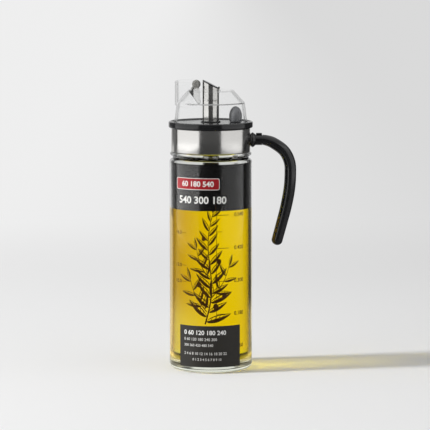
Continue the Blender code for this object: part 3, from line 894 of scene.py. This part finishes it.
class PrintScale(PieceOperator, Operator):
    """Prints the filling scale: an upright line, marks and plain numbers"""

    bl_idname = "dispenser.scale"
    bl_label = "Filling scale"

    marks = (540, 420, 300, 180, 60)
    half_marks = (480, 360, 240, 120)
    left_marks = ((16, 473), (12, 355), (10, 296))
    line_low, line_high = 49.3, 149.4
    right_turn, left_turn = math.radians(45), math.radians(-53)

    def make(self, chosen):
        scale = chosen.scale
        radius = chosen.prints.inner_radius / MM
        spot = scale.spot * radius
        bars = [flat_plate("upright", spot - 0.2, spot + 0.2, self.line_low, self.line_high, 0, 2)]
        numbers = []

        def level(volume):
            return scale.inner_floor / MM + volume * 10 / scale.area

        def bar(name, start, end, here, half, cuts):
            bars.append(flat_plate(name, start, end, here - half, here + half, 0, cuts))

        for volume in self.marks:
            here = level(volume)
            if volume > 60:
                bar(f"mark_{volume}", spot, spot + 11.5, here, 0.24, 6)
            place = (self.right_turn * radius, here)
            numbers.append(written(f"{volume / 1000:.3f}", 5.0, place, bold=0.08))
        for volume in self.half_marks:
            bar(f"half_{volume}", spot, spot + 5.5, level(volume), 0.18, 4)
        for name, volume in self.left_marks:
            here, at = level(volume), self.left_turn * radius
            numbers.append(written(f"{name}.0", 4.6, (at, here), bold=0.06))
            bar(f"left_{name}", at + 4.2, at + 9.5, here, 0.18, 3)
        ink = film("brown_ink", tuple(chosen.prints.ink), 0.2, 0.5)
        dressed(wrapped(merged("scale_marks", bars), radius), "bottle", ink)
        dressed(wrapped(merged("scale_numbers", numbers), radius), "bottle", ink)


class PrintBranch(PieceOperator, Operator):
    """Prints an olive branch in fine brown lines: stem, twigs, half dark leaves, and olives"""

    bl_idname = "dispenser.branch"
    bl_label = "Olive branch"

    twigs = (
        ((-3.5, 57), (-9, 64), (-15, 74), (-19, 86)),
        ((-1.0, 68), (6, 76), (13, 87), (17, 99)),
        ((-1.5, 88), (-7, 96), (-11, 106), (-13, 115)),
    )
    # Middle of each olive, and half its width and height
    olives = (
        *((4.5, 61.5, 2.3, 3.0), (-10.5, 82, 2.0, 2.7), (7.5, 103, 2.0, 2.6)),
        *((-6.5, 124, 1.7, 2.2), (12.5, 72, 2.1, 2.8)),
    )
    # Leaves on the stem and on a twig, and the width of the slices that let the print bend
    stem_leaves, twig_leaves, slice_width = 23, 6, 2.4

    def make(self, chosen):
        radius = chosen.prints.inner_radius / MM
        shape = self.leaf()
        stem = [self.stem(step / 24) for step in range(25)]
        pieces = [self.strip("stem", stem, 1.3, 0.5)]
        for here in range(self.stem_leaves):
            share = 0.02 + 0.95 * here / (self.stem_leaves - 1)
            side = 1 if here % 2 else -1
            spread = (58 - 26 * share) * (1 + 0.14 * math.sin(here * 2.3))
            size = (23 - 12 * share) * (1 + 0.10 * math.sin(here * 1.7 + 1))
            turn = self.lean(stem, share) + side * spread
            pieces.append(self.copied(shape, self.stem(share), turn, size, side))
        pieces.append(self.copied(shape, self.stem(1), self.lean(stem, 1), 10.5, 1))
        for count, twig in enumerate(self.twigs):
            run = eased(twig)
            pieces.append(self.strip(f"twig_{count}", run, 0.8, 0.35))
            for here in range(self.twig_leaves):
                share = 0.10 + 0.80 * here / (self.twig_leaves - 1)
                side = 1 if (here + count) % 2 else -1
                at = run[round(share * (len(run) - 1))]
                turn = self.lean(run, share) + side * 47
                pieces.append(self.copied(shape, at, turn, 17 - 4 * share - count, side))
            pieces.append(self.copied(shape, run[-1], self.lean(run, 1), 12 - count, -1))
        turns = [math.tau * step / 24 for step in range(24)]
        for x, z, half, high in self.olives:
            rim = [(x + half * math.cos(a), z + high * math.sin(a)) for a in turns]
            pieces.append(self.filled("olive", rim))
        bpy.data.objects.remove(shape)
        branch = merged("olive_branch", pieces)
        bpy.ops.object.mode_set(mode="EDIT")
        bpy.ops.mesh.select_all(action="SELECT")
        bpy.ops.mesh.normals_make_consistent(inside=False)
        sliced([cut * self.slice_width for cut in range(-13, 14)])
        bpy.ops.object.mode_set(mode="OBJECT")
        ink = film("brown_ink", tuple(chosen.prints.ink), 0.2, 0.5)
        dressed(wrapped(inked(branch), radius - 0.02), "bottle", ink)

    def stem(self, share):
        return -5 + 8 * share + 3.4 * math.sin(math.tau * share * 0.95), 45.5 + 101.5 * share

    def lean(self, run, share):
        """The heading of a run at a share of it, in degrees over +X."""
        here = min(int(share * (len(run) - 1)), len(run) - 2)
        (x, z), (x2, z2) = run[here], run[here + 1]
        return math.degrees(math.atan2(z2 - z, x2 - x))

    def filled(self, name, points):
        piece = faced(name, points)
        bpy.ops.mesh.quads_convert_to_tris()
        bpy.ops.object.mode_set(mode="OBJECT")
        return piece

    def strip(self, name, run, first, last):
        """A run drawn as a stroke that narrows from its first width to its last."""
        left, right = [], []
        for here, (x, z) in enumerate(run):
            turn = math.radians(self.lean(run, here / (len(run) - 1)) + 90)
            half = (first + (last - first) * here / (len(run) - 1)) / 2
            left.append((x + half * math.cos(turn), z + half * math.sin(turn)))
            right.append((x - half * math.cos(turn), z - half * math.sin(turn)))
        return self.filled(name, left + right[::-1])

    def leaf(self):
        """One leaf along +X, a millimetre long: a dark half, an outlined half and short veins."""

        def half(t):
            return 0.135 * math.sin(math.pi * t**0.85) ** 0.9 * (1 - 0.2 * t)

        steps = [s / 14 for s in range(15)]
        middle = 0.012
        dark = [(0.97, middle), (0.03, middle), *((t, middle + half(t)) for t in steps[1:-1])]
        rim = [(t, -half(t)) for t in steps]
        rim += [(t, -half(t) + 0.040 * math.sin(math.pi * t) ** 0.6) for t in steps[-2:0:-1]]
        shapes = [dark, rim, [(0, -0.014), (1, -0.006), (1, 0.006), (0, 0.014)]]
        for start in (0.16, 0.32, 0.48, 0.64):
            end = start + 0.13
            drop = half(end) * 0.85
            shapes.append([(start, 0), (start + 0.035, 0), (end + 0.015, -drop), (end, -drop)])
        return merged("leaf", [self.filled("leaf_part", shape) for shape in shapes])

    def copied(self, shape, at, turn, size, side):
        picked(shape)
        bpy.ops.object.duplicate()
        copy = bpy.context.object
        copy.scale = (size, 1, size * side)
        return lying(copy, (at[0], 0, at[1]), (0, -math.radians(turn), 0))


class MakeCollar(PieceOperator, Operator):
    """Turns the steel collar, open at the top, with its lower lip drawn in"""

    bl_idname = "dispenser.collar"
    bl_label = "Steel collar"

    def make(self, chosen):
        radius, low, high = COLLAR[1].x, COLLAR[0].z, COLLAR[1].z
        inner, lip = radius - STEEL_WALL, radius - 2.2
        corners = [
            *((lip, low, 0.2), (radius, low, 0.75), (radius, high, 0.3)),
            *((inner, high, 0.3), (inner, low + STEEL_WALL, 0.2), (lip, low + STEEL_WALL, 0.2)),
        ]
        collar = spun_ring("collar_steel", corners, WIDE)
        dressed(collar, "bottle", steel(), "steel_collar")


class MakeHandle(PieceOperator, Operator):
    """Sweeps the hooked handle and adds its boss and ferrule"""

    bl_idname = "dispenser.handle"
    bl_label = "Handle"

    # Bends of the grip, as shares of its reach out from the collar and of its drop
    reach, drop = 36.9, 93
    route = (
        *((0.42, 0.008), (0.585, 0.034), (0.842, 0.111), (0.978, 0.219), (1.0, 0.338)),
        *((0.975, 0.49), (0.894, 0.665), (0.785, 0.833), (0.672, 1.0)),
    )
    # Half the thickness of the peg, and how far the rounded end stands out
    peg, end_cap = 3.9, 4.6

    def make(self, chosen):
        collar = COLLAR[1].x
        level = (BOSS[0].z + BOSS[1].z) / 2
        bends = [(FERRULE[1].x + 0.3, 0, level)]
        for out, down in self.route:
            bends.append((collar + self.reach * out, 0, level - self.drop * down))
        self.sweep("handle_grip", Vector((FERRULE[0].x, 0, level)), eased(bends))
        self.boss(level)
        self.ferrule(level)

    def section(self, share):
        """Half the depth and half the width at a share of the way."""
        swell = min(share / 0.3, 1)
        swell = swell * swell * (3 - 2 * swell)
        taper = max((share - 0.75) / 0.25, 0)
        return 4.75 + 0.65 * swell - 0.3 * taper, 4.75 + 1.55 * swell - 0.6 * taper

    def sweep(self, name, start, path):
        """Extrudes a ring from point to point, turning and resizing it, and rounds off the end."""
        level = Vector((1, 0, 0))
        stations = [(at, level, self.peg, self.peg) for at in (start, path[0])]
        last = len(path) - 1
        for here, at in enumerate(path):
            before, after = path[max(here - 1, 0)], path[min(here + 1, last)]
            heading = (after - before).normalized() if here else level
            stations.append((at, heading, *self.section(here / last)))
        at, heading, depth, width = stations[-1]
        for step in range(1, 8):
            turn = math.pi / 2 * step / 8
            ahead = at + heading * self.end_cap * math.sin(turn)
            stations.append((ahead, heading, depth * math.cos(turn), width * math.cos(turn)))
        deselect()
        bpy.ops.mesh.primitive_circle_add(
            vertices=40, radius=MM, rotation=(0, math.pi / 2, 0), fill_type="NGON"
        )
        piece = opened(name)
        at, heading, depth, width = stations[0]
        bpy.ops.transform.translate(value=at * MM)
        bpy.ops.transform.resize(value=(1, width, depth), center_override=at * MM)
        for before, after in zip(stations, stations[1:]):
            extruded((after[0] - before[0]) * MM)
            centre = after[0] * MM
            turn = math.atan2(after[1].z, after[1].x) - math.atan2(before[1].z, before[1].x)
            if abs(turn) > 1e-6:
                bpy.ops.transform.rotate(value=turn, orient_axis="Y", center_override=centre)
            depth, width = after[2] / before[2], after[3] / before[3]
            bpy.ops.transform.resize(value=(depth, width, depth), center_override=centre)
        closed()
        dressed(smoothed(piece, 50), "bottle", satin_black(), "handle")

    def boss(self, level):
        seat, face = COLLAR[1].x + 0.3, BOSS[1].x
        radius = (BOSS[1].z - BOSS[0].z) / 2
        rim, rim_end = (seat + (face - seat) * share for share in (0.3, 0.48))
        outline = rounded(
            [
                *((0, seat - 4, 0), (radius - 1.2, seat - 4, 0), (radius - 1.2, seat, 0.3)),
                *((radius, rim, 0.4), (radius, rim_end, 0.4)),
                *((radius - 1.7, face, 0.3), (0, face, 0)),
            ],
            4,
        )
        boss = lying(turned("boss", outline, SMALL), (0, 0, level), (0, math.pi / 2, 0))
        near, low, high = COLLAR[1].x + 0.1, 190, 232
        seat = turned("seat", [(0, low), (near, low), (near, high), (0, high)])
        joined_by(boss, seat, "DIFFERENCE")
        dressed(smoothed(boss), "bottle", satin_black(), "handle_boss")

    def ferrule(self, level):
        near, far = BOSS[1].x, FERRULE[1].x
        radius, top = FERRULE[1].y, FERRULE[1].z
        bore = radius - 0.7
        corners = [(bore, near, 0.1), (radius, near, 0.2), (radius, far, 0.3), (bore, far, 0.2)]
        ferrule = spun_ring("ferrule", corners, SMALL)
        lying(ferrule, (0, 0, level), (0, math.pi / 2, 0))
        near, far, foot = near + 0.6, far - 0.3, level + radius - 0.4
        block = [(near, foot), (far, foot), (far, top), (near, top)]
        joined_by(ferrule, bevelled(plated("tab", block, -2.4, 2.4), 0.35), "UNION")
        dressed(smoothed(ferrule), "bottle", gloss_black(), "handle_ferrule")


class MakeLid(PieceOperator, Operator):
    """Turns the black flange, the plug with its ribbed seal, and the soft air valve"""

    bl_idname = "dispenser.lid"
    bl_label = "Lid"

    def make(self, chosen):
        self.flange()
        self.valve()
        low, high = extents("lid_plug")
        body = high.x - 2.1
        self.plug(low.z, high, body)
        self.seal(body + 0.3)

    def flange(self):
        radius, low, top = FLANGE[1].x, FLANGE[0].z, FLANGE[1].z
        hole, outer, inner, floor = 9.3, COVER_FOOT + 0.3, COVER_FOOT - 2.2, LID_PLATE - 1.2
        corners = [
            *((hole, low, 0.2), (radius, low, 1.3), (radius, top, 1.3), (radius - 1.8, top, 0.5)),
            *((radius - 2.6, LID_PLATE, 0.3), (outer, LID_PLATE, 0.12)),
            *((outer, floor, 0), (inner, floor, 0), (inner, LID_PLATE, 0.12)),
            (hole, LID_PLATE, 0.2),
        ]
        flange = spun_ring("flange", corners, WIDE)
        dressed(flange, "lid", gloss_black(), "lid_flange")

    def valve(self):
        low, high = VALVE
        middle, half = (low.x + high.x) / 2, (high.x - low.x) / 2
        stem, base = 2.9, LID_PLATE + 0.3
        waist = base + (high.z - base) * 0.36
        turns = [math.radians(6 * step) for step in range(1, 15)]
        outline = [
            *((0, low.z), (stem, low.z), (stem, base), (half - 0.55, base)),
            *((half - 0.4, base + 0.15), (half - 0.12, base + 2), (half, waist)),
            *((half * math.cos(a), waist + (high.z - waist) * math.sin(a)) for a in turns),
            (0, high.z),
        ]
        valve = turned("air_valve_cap", outline, SMALL, (middle, 0), 40)
        dressed(valve, "lid", grey_silicone(), "air_valve")

    def plug(self, low, high, body):
        foot, inner, hole, ledge = body + 1.5, body - 2, 10.0, high.z - 2.7
        corners = [
            *((inner, low, 0.2), (foot, low, 0.3), (foot, low + 1.5, 0.3), (body, low + 1.5, 0)),
            *((body, ledge, 0), (high.x, ledge, 0.2), (high.x, high.z, 0.2)),
            *((hole, high.z, 0), (hole, ledge, 0), (inner, ledge, 0.3)),
        ]
        plug = spun_ring("plug", corners, MIDDLE)
        dressed(plug, "lid", satin_black(), "lid_plug")

    def seal(self, inner):
        low, high = extents("plug_seal")
        wall = inner + 0.8
        outline = [(inner, low.z, 0), (wall, low.z, 0.2)]
        for share in (0.25, 0.75):
            middle = low.z + (high.z - low.z) * share
            low_foot, high_foot = (wall, middle - 0.8, 0.2), (wall, middle + 0.8, 0.2)
            outline += [low_foot, (high.x, middle, 0.35), high_foot]
        outline += [(wall, high.z, 0.2), (inner, high.z, 0)]
        seal = spun_ring("ribbed_seal", outline, MIDDLE, 4)
        dressed(seal, "lid", white_silicone(), "plug_seal")


class MakeSpout(PieceOperator, Operator):
    """Turns the steel spout, cuts its slanted mouth and adds bush, lugs, flap and pin"""

    bl_idname = "dispenser.spout"
    bl_label = "Spout and flap"

    lug_inside, lug_outside = 1.8, 2.6

    def make(self, chosen):
        radius, low, high = SPOUT[1].y, SPOUT[0].z, SPOUT[1].z
        bore, above = radius - STEEL_WALL, high + 4
        corners = [(bore, low, 0.15), (radius, low, 0.2), (radius, above, 0), (bore, above, 0)]
        tube = spun_ring("spout", corners, MIDDLE)
        slant = math.tan(SPOUT_SLOPE)
        middle = high - radius * slant
        reach, above = radius + 3, high + 9
        block = [(-reach, middle + reach * slant), (reach, middle - reach * slant)]
        mouth = plated("mouth", [*block, (reach, above), (-reach, above)], -reach, reach)
        joined_by(tube, mouth, "DIFFERENCE")

        pin = (FLAP_PIN[0] + FLAP_PIN[1]) / 2
        foot = middle - radius * slant - 2.6
        chord = math.sqrt(radius**2 - self.lug_outside**2)
        turns = [math.pi * s / 12 for s in range(13)]
        eye = [(pin.x + math.cos(a), pin.z + math.sin(a)) for a in turns]
        plate = [(chord - 0.8, foot), (chord, foot), *eye]
        lugs = []
        for side in (-1, 1):
            near, far = sorted((side * self.lug_inside, side * self.lug_outside))
            lugs.append(bevelled(plated(f"lug_{side + 1}", plate, near, far), 0.12, 2))
        spout = smoothed(merged("spout", [tube, *lugs]), 30)
        polished = steel("spout_steel", (0.66, 0.65, 0.63), 0.10, (1, 1, 60))
        dressed(spout, "lid", polished, "spout_tube")
        self.flap(pin, middle, radius)
        self.bush(radius + 0.3)

    def bush(self, bore):
        low, high = extents("spout_bush")
        top = high.z - 0.4
        body, lip = high.x - 0.9, high.x - 0.7
        corners = [
            *((bore, low.z, 0), (body, low.z, 0.1), (body, top - 1.1, 0), (lip, top - 1.1, 0.1)),
            *((lip, top - 0.45, 0.2), (body, top, 0.25), (bore, top, 0.15)),
        ]
        bush = spun_ring("bush", corners, MIDDLE)
        dressed(bush, "lid", black_silicone(), "spout_bush")

    def flap(self, pin, middle, radius):
        """The flap is made level about its hinge, then tilted down the slope of the mouth."""
        sine, cosine, thick = math.sin(SPOUT_SLOPE), math.cos(SPOUT_SLOPE), 0.8
        to_middle = Vector((-pin.x, middle - pin.z))
        along = to_middle.x * cosine - to_middle.y * sine
        low = to_middle.x * sine + to_middle.y * cosine + 0.3
        centre = (along * MM, 0, (low + thick / 2) * MM)
        deselect()
        bpy.ops.mesh.primitive_cylinder_add(
            vertices=72, radius=MM, depth=thick * MM, location=centre
        )
        plate = opened("flap")
        size = (radius / cosine + 0.2, radius + 0.2, 1)
        bpy.ops.transform.resize(value=size, center_override=centre)
        bpy.ops.mesh.bisect(
            plane_co=(-1.3 * MM, 0, 0), plane_no=(1, 0, 0), use_fill=True, clear_outer=True
        )
        closed()
        bevelled(plate, 0.15, 2)
        bar = [(-2.6, low), (0, low), (0, low + thick), (-2.6, low + thick)]
        arm = plated("arm", bar, -1.5, 1.5)
        knuckle = bevelled(rod("knuckle", 1, 3), 0.12, 2)
        flap = merged("flap", [plate, arm, knuckle])
        smoothed(lying(flap, pin, (0, SPOUT_SLOPE, 0)), 30)
        dark = steel("dark_steel", (0.075, 0.075, 0.08), 0.22, (1, 60, 1))
        dressed(flap, "flap", dark, "spout_flap")
        axle = bevelled(rod("hinge_pin", 0.4, FLAP_PIN[1].y * 2, pin, 32), 0.1, 2)
        dressed(smoothed(axle, 30), "lid", steel(), "flap_pin")


class MakeCover(PieceOperator, Operator):
    """Turns the clear cover and adds its guard, its lever slot and the drilled ears"""

    bl_idname = "dispenser.cover"
    bl_label = "Clear cover"

    crease_rise, top_rise = 17.9, 29.6
    guard_wall, guard_turn = 1.8, 120
    ear, ear_half, slot_half = 1.9, 4.7, 3.2

    def make(self, chosen):
        foot, low = COVER_FOOT, COVER[0].z
        crease, top = LID_PLATE + self.crease_rise, LID_PLATE + self.top_rise
        hole = SPOUT[1].y + 1.9
        shoulder = hole + 11.4
        under = top - COVER_WALL
        profile = [
            *((foot, low, 0.3), (foot - 2.3, crease, 1.6), (shoulder, top, 1.4), (hole, top, 0.3)),
            *((hole, under, 0.3), (shoulder - 0.72, under, 0.1)),
            *((foot - 3.83, crease - 0.69, 0.3), (foot - 1.61, low, 0.3)),
        ]
        cover = spun_ring("cover", profile, WIDE)
        joined_by(cover, self.guard(foot - 0.7, crease - 3.7, COVER[1].z), "UNION")

        pin = (LEVER_PIN[0] + LEVER_PIN[1]) / 2
        left, right, base = pin.x - self.ear, pin.x + self.ear, top - 0.8
        turns = [math.pi * s / 20 for s in range(21)]
        eye = [(pin.x + self.ear * math.cos(a), pin.z + self.ear * math.sin(a)) for a in turns]
        ears = plated("ears", [(left, base), (right, base), *eye], -self.ear_half, self.ear_half)
        joined_by(cover, bevelled(ears, 0.25, 3), "UNION")
        back, low, high = pin.x - 6.8, top - 4, top + 8
        hollow = [(back, low), (0, low), (0, high), (back, high)]
        slot = plated("slot", hollow, -self.slot_half, self.slot_half)
        joined_by(cover, slot, "DIFFERENCE")
        joined_by(cover, rod("bore", AXLE_BORE, 24, pin), "DIFFERENCE")
        smoothed(cover, 30)
        dressed(cover, "cover", clear_plastic(), "clear_cover")

    def guard(self, outer, foot, tip):
        """The upright wall on the pouring side."""
        inner = outer - self.guard_wall
        corners = [(inner, foot, 0.5), (outer, foot + 1.8, 0.5)]
        corners += [(outer, tip, 0.6), (inner, tip, 0.6)]
        guard = faced("guard", ringed(corners, 4))
        turn = math.radians(self.guard_turn)
        bpy.ops.mesh.spin(steps=60, angle=turn, center=(0, 0, 0), axis=(0, 0, 1))
        closed()
        return lying(guard, (0, 0, 0), (0, 0, -turn))


class MakeLever(PieceOperator, Operator):
    """Cuts the clear lever with its round head and its tongue, and puts its pin through it"""

    bl_idname = "dispenser.lever"
    bl_label = "Cover lever"

    def make(self, chosen):
        pin = (LEVER_PIN[0] + LEVER_PIN[1]) / 2

        def arc(x, z, radius, start, end, steps):
            turns = [math.radians(start + (end - start) * s / steps) for s in range(steps + 1)]
            x, z = pin.x + x, pin.z + z
            return [(x + radius * math.cos(t), z + radius * math.sin(t)) for t in turns]

        outline = (
            arc(4.8, -12.8, 1.6, 205, 380, 14)
            + arc(2.4, 3.9, 3.9, -48, 212, 40)
            + arc(0, 0, 2.1, 128, 178, 5)
            + arc(-3.3, -2.6, 1.2, 100, 205, 10)
        )
        lever = bevelled(plated("lever", outline, -2.6, 2.6), 0.45, 3, 50)
        joined_by(lever, rod("lever_bore", AXLE_BORE, 12, pin), "DIFFERENCE")
        smoothed(lever, 12)
        dressed(lever, "lever", smoky_plastic(), "cover_lever")
        axle = bevelled(rod("lever_axle", 0.8, LEVER_PIN[1].y * 2, pin), 0.15, 2)
        dressed(smoothed(axle, 30), "cover", steel(), "lever_pin")


class FinishSmallParts(PieceOperator, Operator):
    """Gives the small fittings that stay as they are their finishes"""

    bl_idname = "dispenser.fittings"
    bl_label = "Small fittings"

    def make(self, chosen):
        finishes = {
            "collar_liner": satin_black(),
            "handle_screw": steel(),
            "rim_gasket": white_silicone(),
            "spout_ring": black_silicone(),
            "spout_nut": steel(),
            "air_tube": white_silicone(),
        }
        for name, material in finishes.items():
            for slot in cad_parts[name].material_slots:
                slot.material = material


# Brightness that mirroring pieces see round them. 0 degrees is towards the camera, and 90 is +X
FLOOR_STOPS = (
    *((-180, 0.66), (-137, 0.66), (-132, 0.14), (-118, 0.14), (-111, 0.50), (-40, 0.50)),
    *((-33, 0.06), (28, 0.06), (34, 0.34), (99, 0.34), (105, 0.05), (156, 0.05)),
    *((163, 0.70), (180, 0.70)),
)
NEAR_STOPS = (
    *((-180, 0.70), (-137, 0.70), (-130, 0.30), (-116, 0.60), (-40, 0.60), (-33, 0.15)),
    *((28, 0.15), (34, 0.20), (99, 0.20), (105, 0.12), (150, 0.12), (160, 0.70), (180, 0.70)),
)
WALL_STOPS = (
    *((-180, 0.74), (-155, 0.74), (-149, 0.16), (-124, 0.18), (-117, 0.02), (-43, 0.02)),
    *((-38, 0.085), (28, 0.085), (33, 0.02), (99, 0.02), (105, 0.075), (156, 0.065)),
    *((163, 0.75), (180, 0.80)),
)


class SetStudio(PieceOperator, Operator):
    """Sets up the pale floor, the soft light, the plain backdrop and the camera"""

    bl_idname = "dispenser.studio"
    bl_label = "Studio"

    # Rings of the floor, in metres from the bottle: where the ground fades to the even backdrop,
    # where mirrors leave the near floor, and where they reach the walls
    fade, near_end, wall_start = (0.45, 1.2), (0.28, 0.5), (1.95, 2.15)
    behind_glass = (0.84, 0.84, 0.84)

    def make(self, chosen):
        studio = chosen.studio
        self.floor(studio)
        self.backdrop()
        self.panel("left_panel", (-1.030, -0.325, 0.62), (1.78, 1.33), studio.left_light * 8.3)
        self.panel("right_panel", (0.99, -0.42, 0.62), (1.63, 1.33), studio.right_light * 5.9)
        self.panel("top_panel", (0.0, 0.1, 1.5), (1.6, 1.6), 2)
        self.sun()
        self.camera(studio)

    def floor(self, studio):
        deselect()
        bpy.ops.mesh.primitive_circle_add(
            vertices=96, radius=14, fill_type="NGON", location=(0, 0, -0.0002)
        )
        floor = opened("floor")
        closed()
        palette = Palette(bpy.data.materials.new("pale_floor"))
        x, y, _ = palette.axes()
        out = (x * x + y * y) ** 0.5
        path = palette.node("LightPath")
        through, bounces = path["Is Transmission Ray"], path["Glossy Depth"]

        grain = palette.noise(900, 3)
        # Painted shade: the floor darkens towards the right, away from the light on the left
        left, right = tuple(studio.floor), tuple(c * 0.87 for c in studio.floor)
        lit = palette.blend(x.span(-0.3, 0.4), left, right)
        cloth = palette.blend(grain.span(0.3, 0.7, 0, 0.03), lit, (0.6, 0.6, 0.6))
        values = {"Base Color": cloth, "Roughness": 0.85, "Specular IOR Level": 0.1}
        near = palette.principled(values)
        # The far backdrop is painted darker towards the right as well
        pale = palette.ramp(x.span(-0.35, 0.45), ((0, (0.86,) * 3), (1, (0.70,) * 3)))
        pale = palette.blend(through, pale, (0.84, 0.84, 0.83))
        dull = palette.node("BsdfDiffuse", {"Color": (0.3, 0.3, 0.3)})["BSDF"]
        far = palette.mixed(path["Is Camera Ray"].largest(through), dull, palette.glowing(pale))
        ground = palette.mixed(out.span(*self.fade).largest(through), near, far)

        floor_seen, walls_seen, near_seen = (
            self.room(palette, x, y, stops) for stops in (FLOOR_STOPS, WALL_STOPS, NEAR_STOPS)
        )
        beyond = palette.blend(out.span(*self.wall_start), floor_seen, walls_seen)
        # Painted glow: rays that have mirrored more than twice, inside the thick base, meet a
        # bright yellow glow near the bottle
        deep = (bounces > 2.5) * 1.0
        close = palette.blend(deep, near_seen, (1.6, 1.45, 0.95))
        around = palette.glowing(palette.blend(out.span(*self.near_end), close, beyond))
        mirrored = (bounces > 0.5) * (1 - path["Is Diffuse Ray"])
        floor.data.materials.append(palette.surface(palette.mixed(mirrored, ground, around)))

    def room(self, palette, x, y, stops):
        """The surroundings in mirrors: pale behind, dark at the flags and towards the camera."""
        turn = x.maths("ARCTAN2", -1.0 * y) / math.tau + 0.5
        return palette.ramp(turn, [(0.5 + degrees / 360, (level,) * 3) for degrees, level in stops])

    def backdrop(self):
        world = bpy.data.worlds.new("studio")
        bpy.context.scene.world = world
        palette = Palette(world)
        path = palette.node("LightPath")
        way = palette.node("TexCoord")["Generated"]
        parts = palette.node("SeparateXYZ", (way,))
        walls = self.room(palette, parts["X"], parts["Y"], WALL_STOPS)
        above = palette.blend(parts["Z"].span(0.35, 0.7), walls, (0.75, 0.75, 0.75))
        behind = palette.blend(path["Is Transmission Ray"], (0.80, 0.80, 0.80), self.behind_glass)
        seen = palette.blend(path["Glossy Depth"] > 0.5, behind, above)
        even = palette.blend(path["Is Diffuse Ray"], seen, (0.27, 0.27, 0.27))
        light = palette.node("Background", (even, 1.0))["Background"]
        palette.node("OutputWorld", {"Surface": light})

    def placed(self, data, place=(0, 0, 0)):
        thing = bpy.data.objects.new(data.name, data)
        bpy.context.scene.collection.objects.link(thing)
        thing.location = place
        return thing

    def panel(self, name, place, size, power):
        """A lamp that faces the bottle's axis level, or from above."""
        lamp = bpy.data.lights.new(name, "AREA")
        lamp.shape = "RECTANGLE"
        lamp.size, lamp.size_y = size
        lamp.energy = power
        aim = -Vector(place)
        if place[2] < 1:
            aim.z = 0
        self.placed(lamp, place).rotation_euler = aim.to_track_quat("-Z", "Y").to_euler()

    def sun(self):
        lamp = bpy.data.lights.new("window", "SUN")
        lamp.energy = 2.65
        lamp.angle = math.radians(6.5)
        sun = self.placed(lamp)
        sun.visible_glossy = False
        sun.rotation_euler = Vector((0.80, 0.155, -0.58)).to_track_quat("-Z", "Y").to_euler()

    def camera(self, studio):
        lens = bpy.data.cameras.new("camera")
        lens.lens = studio.lens
        lens.sensor_width = 36
        lens.clip_start, lens.clip_end = 0.1, 60
        camera = self.placed(lens, (studio.aside, -studio.distance, studio.height))
        camera.rotation_euler = (math.pi / 2 - studio.pitch, 0, 0)
        bpy.context.scene.camera = camera
        bpy.context.scene.view_settings.view_transform = "Standard"


class DispenserPanel(Panel):
    """Lists the dispenser's pieces and their settings"""

    bl_idname = "DISPENSER_PT_pieces"
    bl_label = "Oil and vinegar dispenser"
    bl_space_type = "VIEW_3D"
    bl_region_type = "UI"
    bl_category = "Dispenser"

    def draw(self, context):
        chosen = context.scene.dispenser
        for operator in OPERATORS:
            self.layout.operator(operator.bl_idname)
        for group in (chosen.oil, chosen.prints, chosen.scale, chosen.studio):
            box = self.layout.box()
            for name in group.__annotations__:
                box.prop(group, name)


GROUPS = (OilSettings, PrintSettings, ScaleSettings, StudioSettings, DispenserSettings)
OPERATORS = (
    *(MakeBottle, FillOil, PrintLabels, PrintScale, PrintBranch, MakeCollar, MakeHandle),
    *(MakeLid, MakeSpout, MakeCover, MakeLever, FinishSmallParts, SetStudio),
)


def register():
    for kind in (*GROUPS, *OPERATORS, DispenserPanel):
        bpy.utils.register_class(kind)
    bpy.types.Scene.dispenser = PointerProperty(type=DispenserSettings)


def unregister():
    del bpy.types.Scene.dispenser
    for kind in reversed((*GROUPS, *OPERATORS, DispenserPanel)):
        bpy.utils.unregister_class(kind)


def main():
    register()
    for operator in OPERATORS:
        group, name = operator.bl_idname.split(".")
        getattr(getattr(bpy.ops, group), name)()


if __name__ == "__main__":
    main()
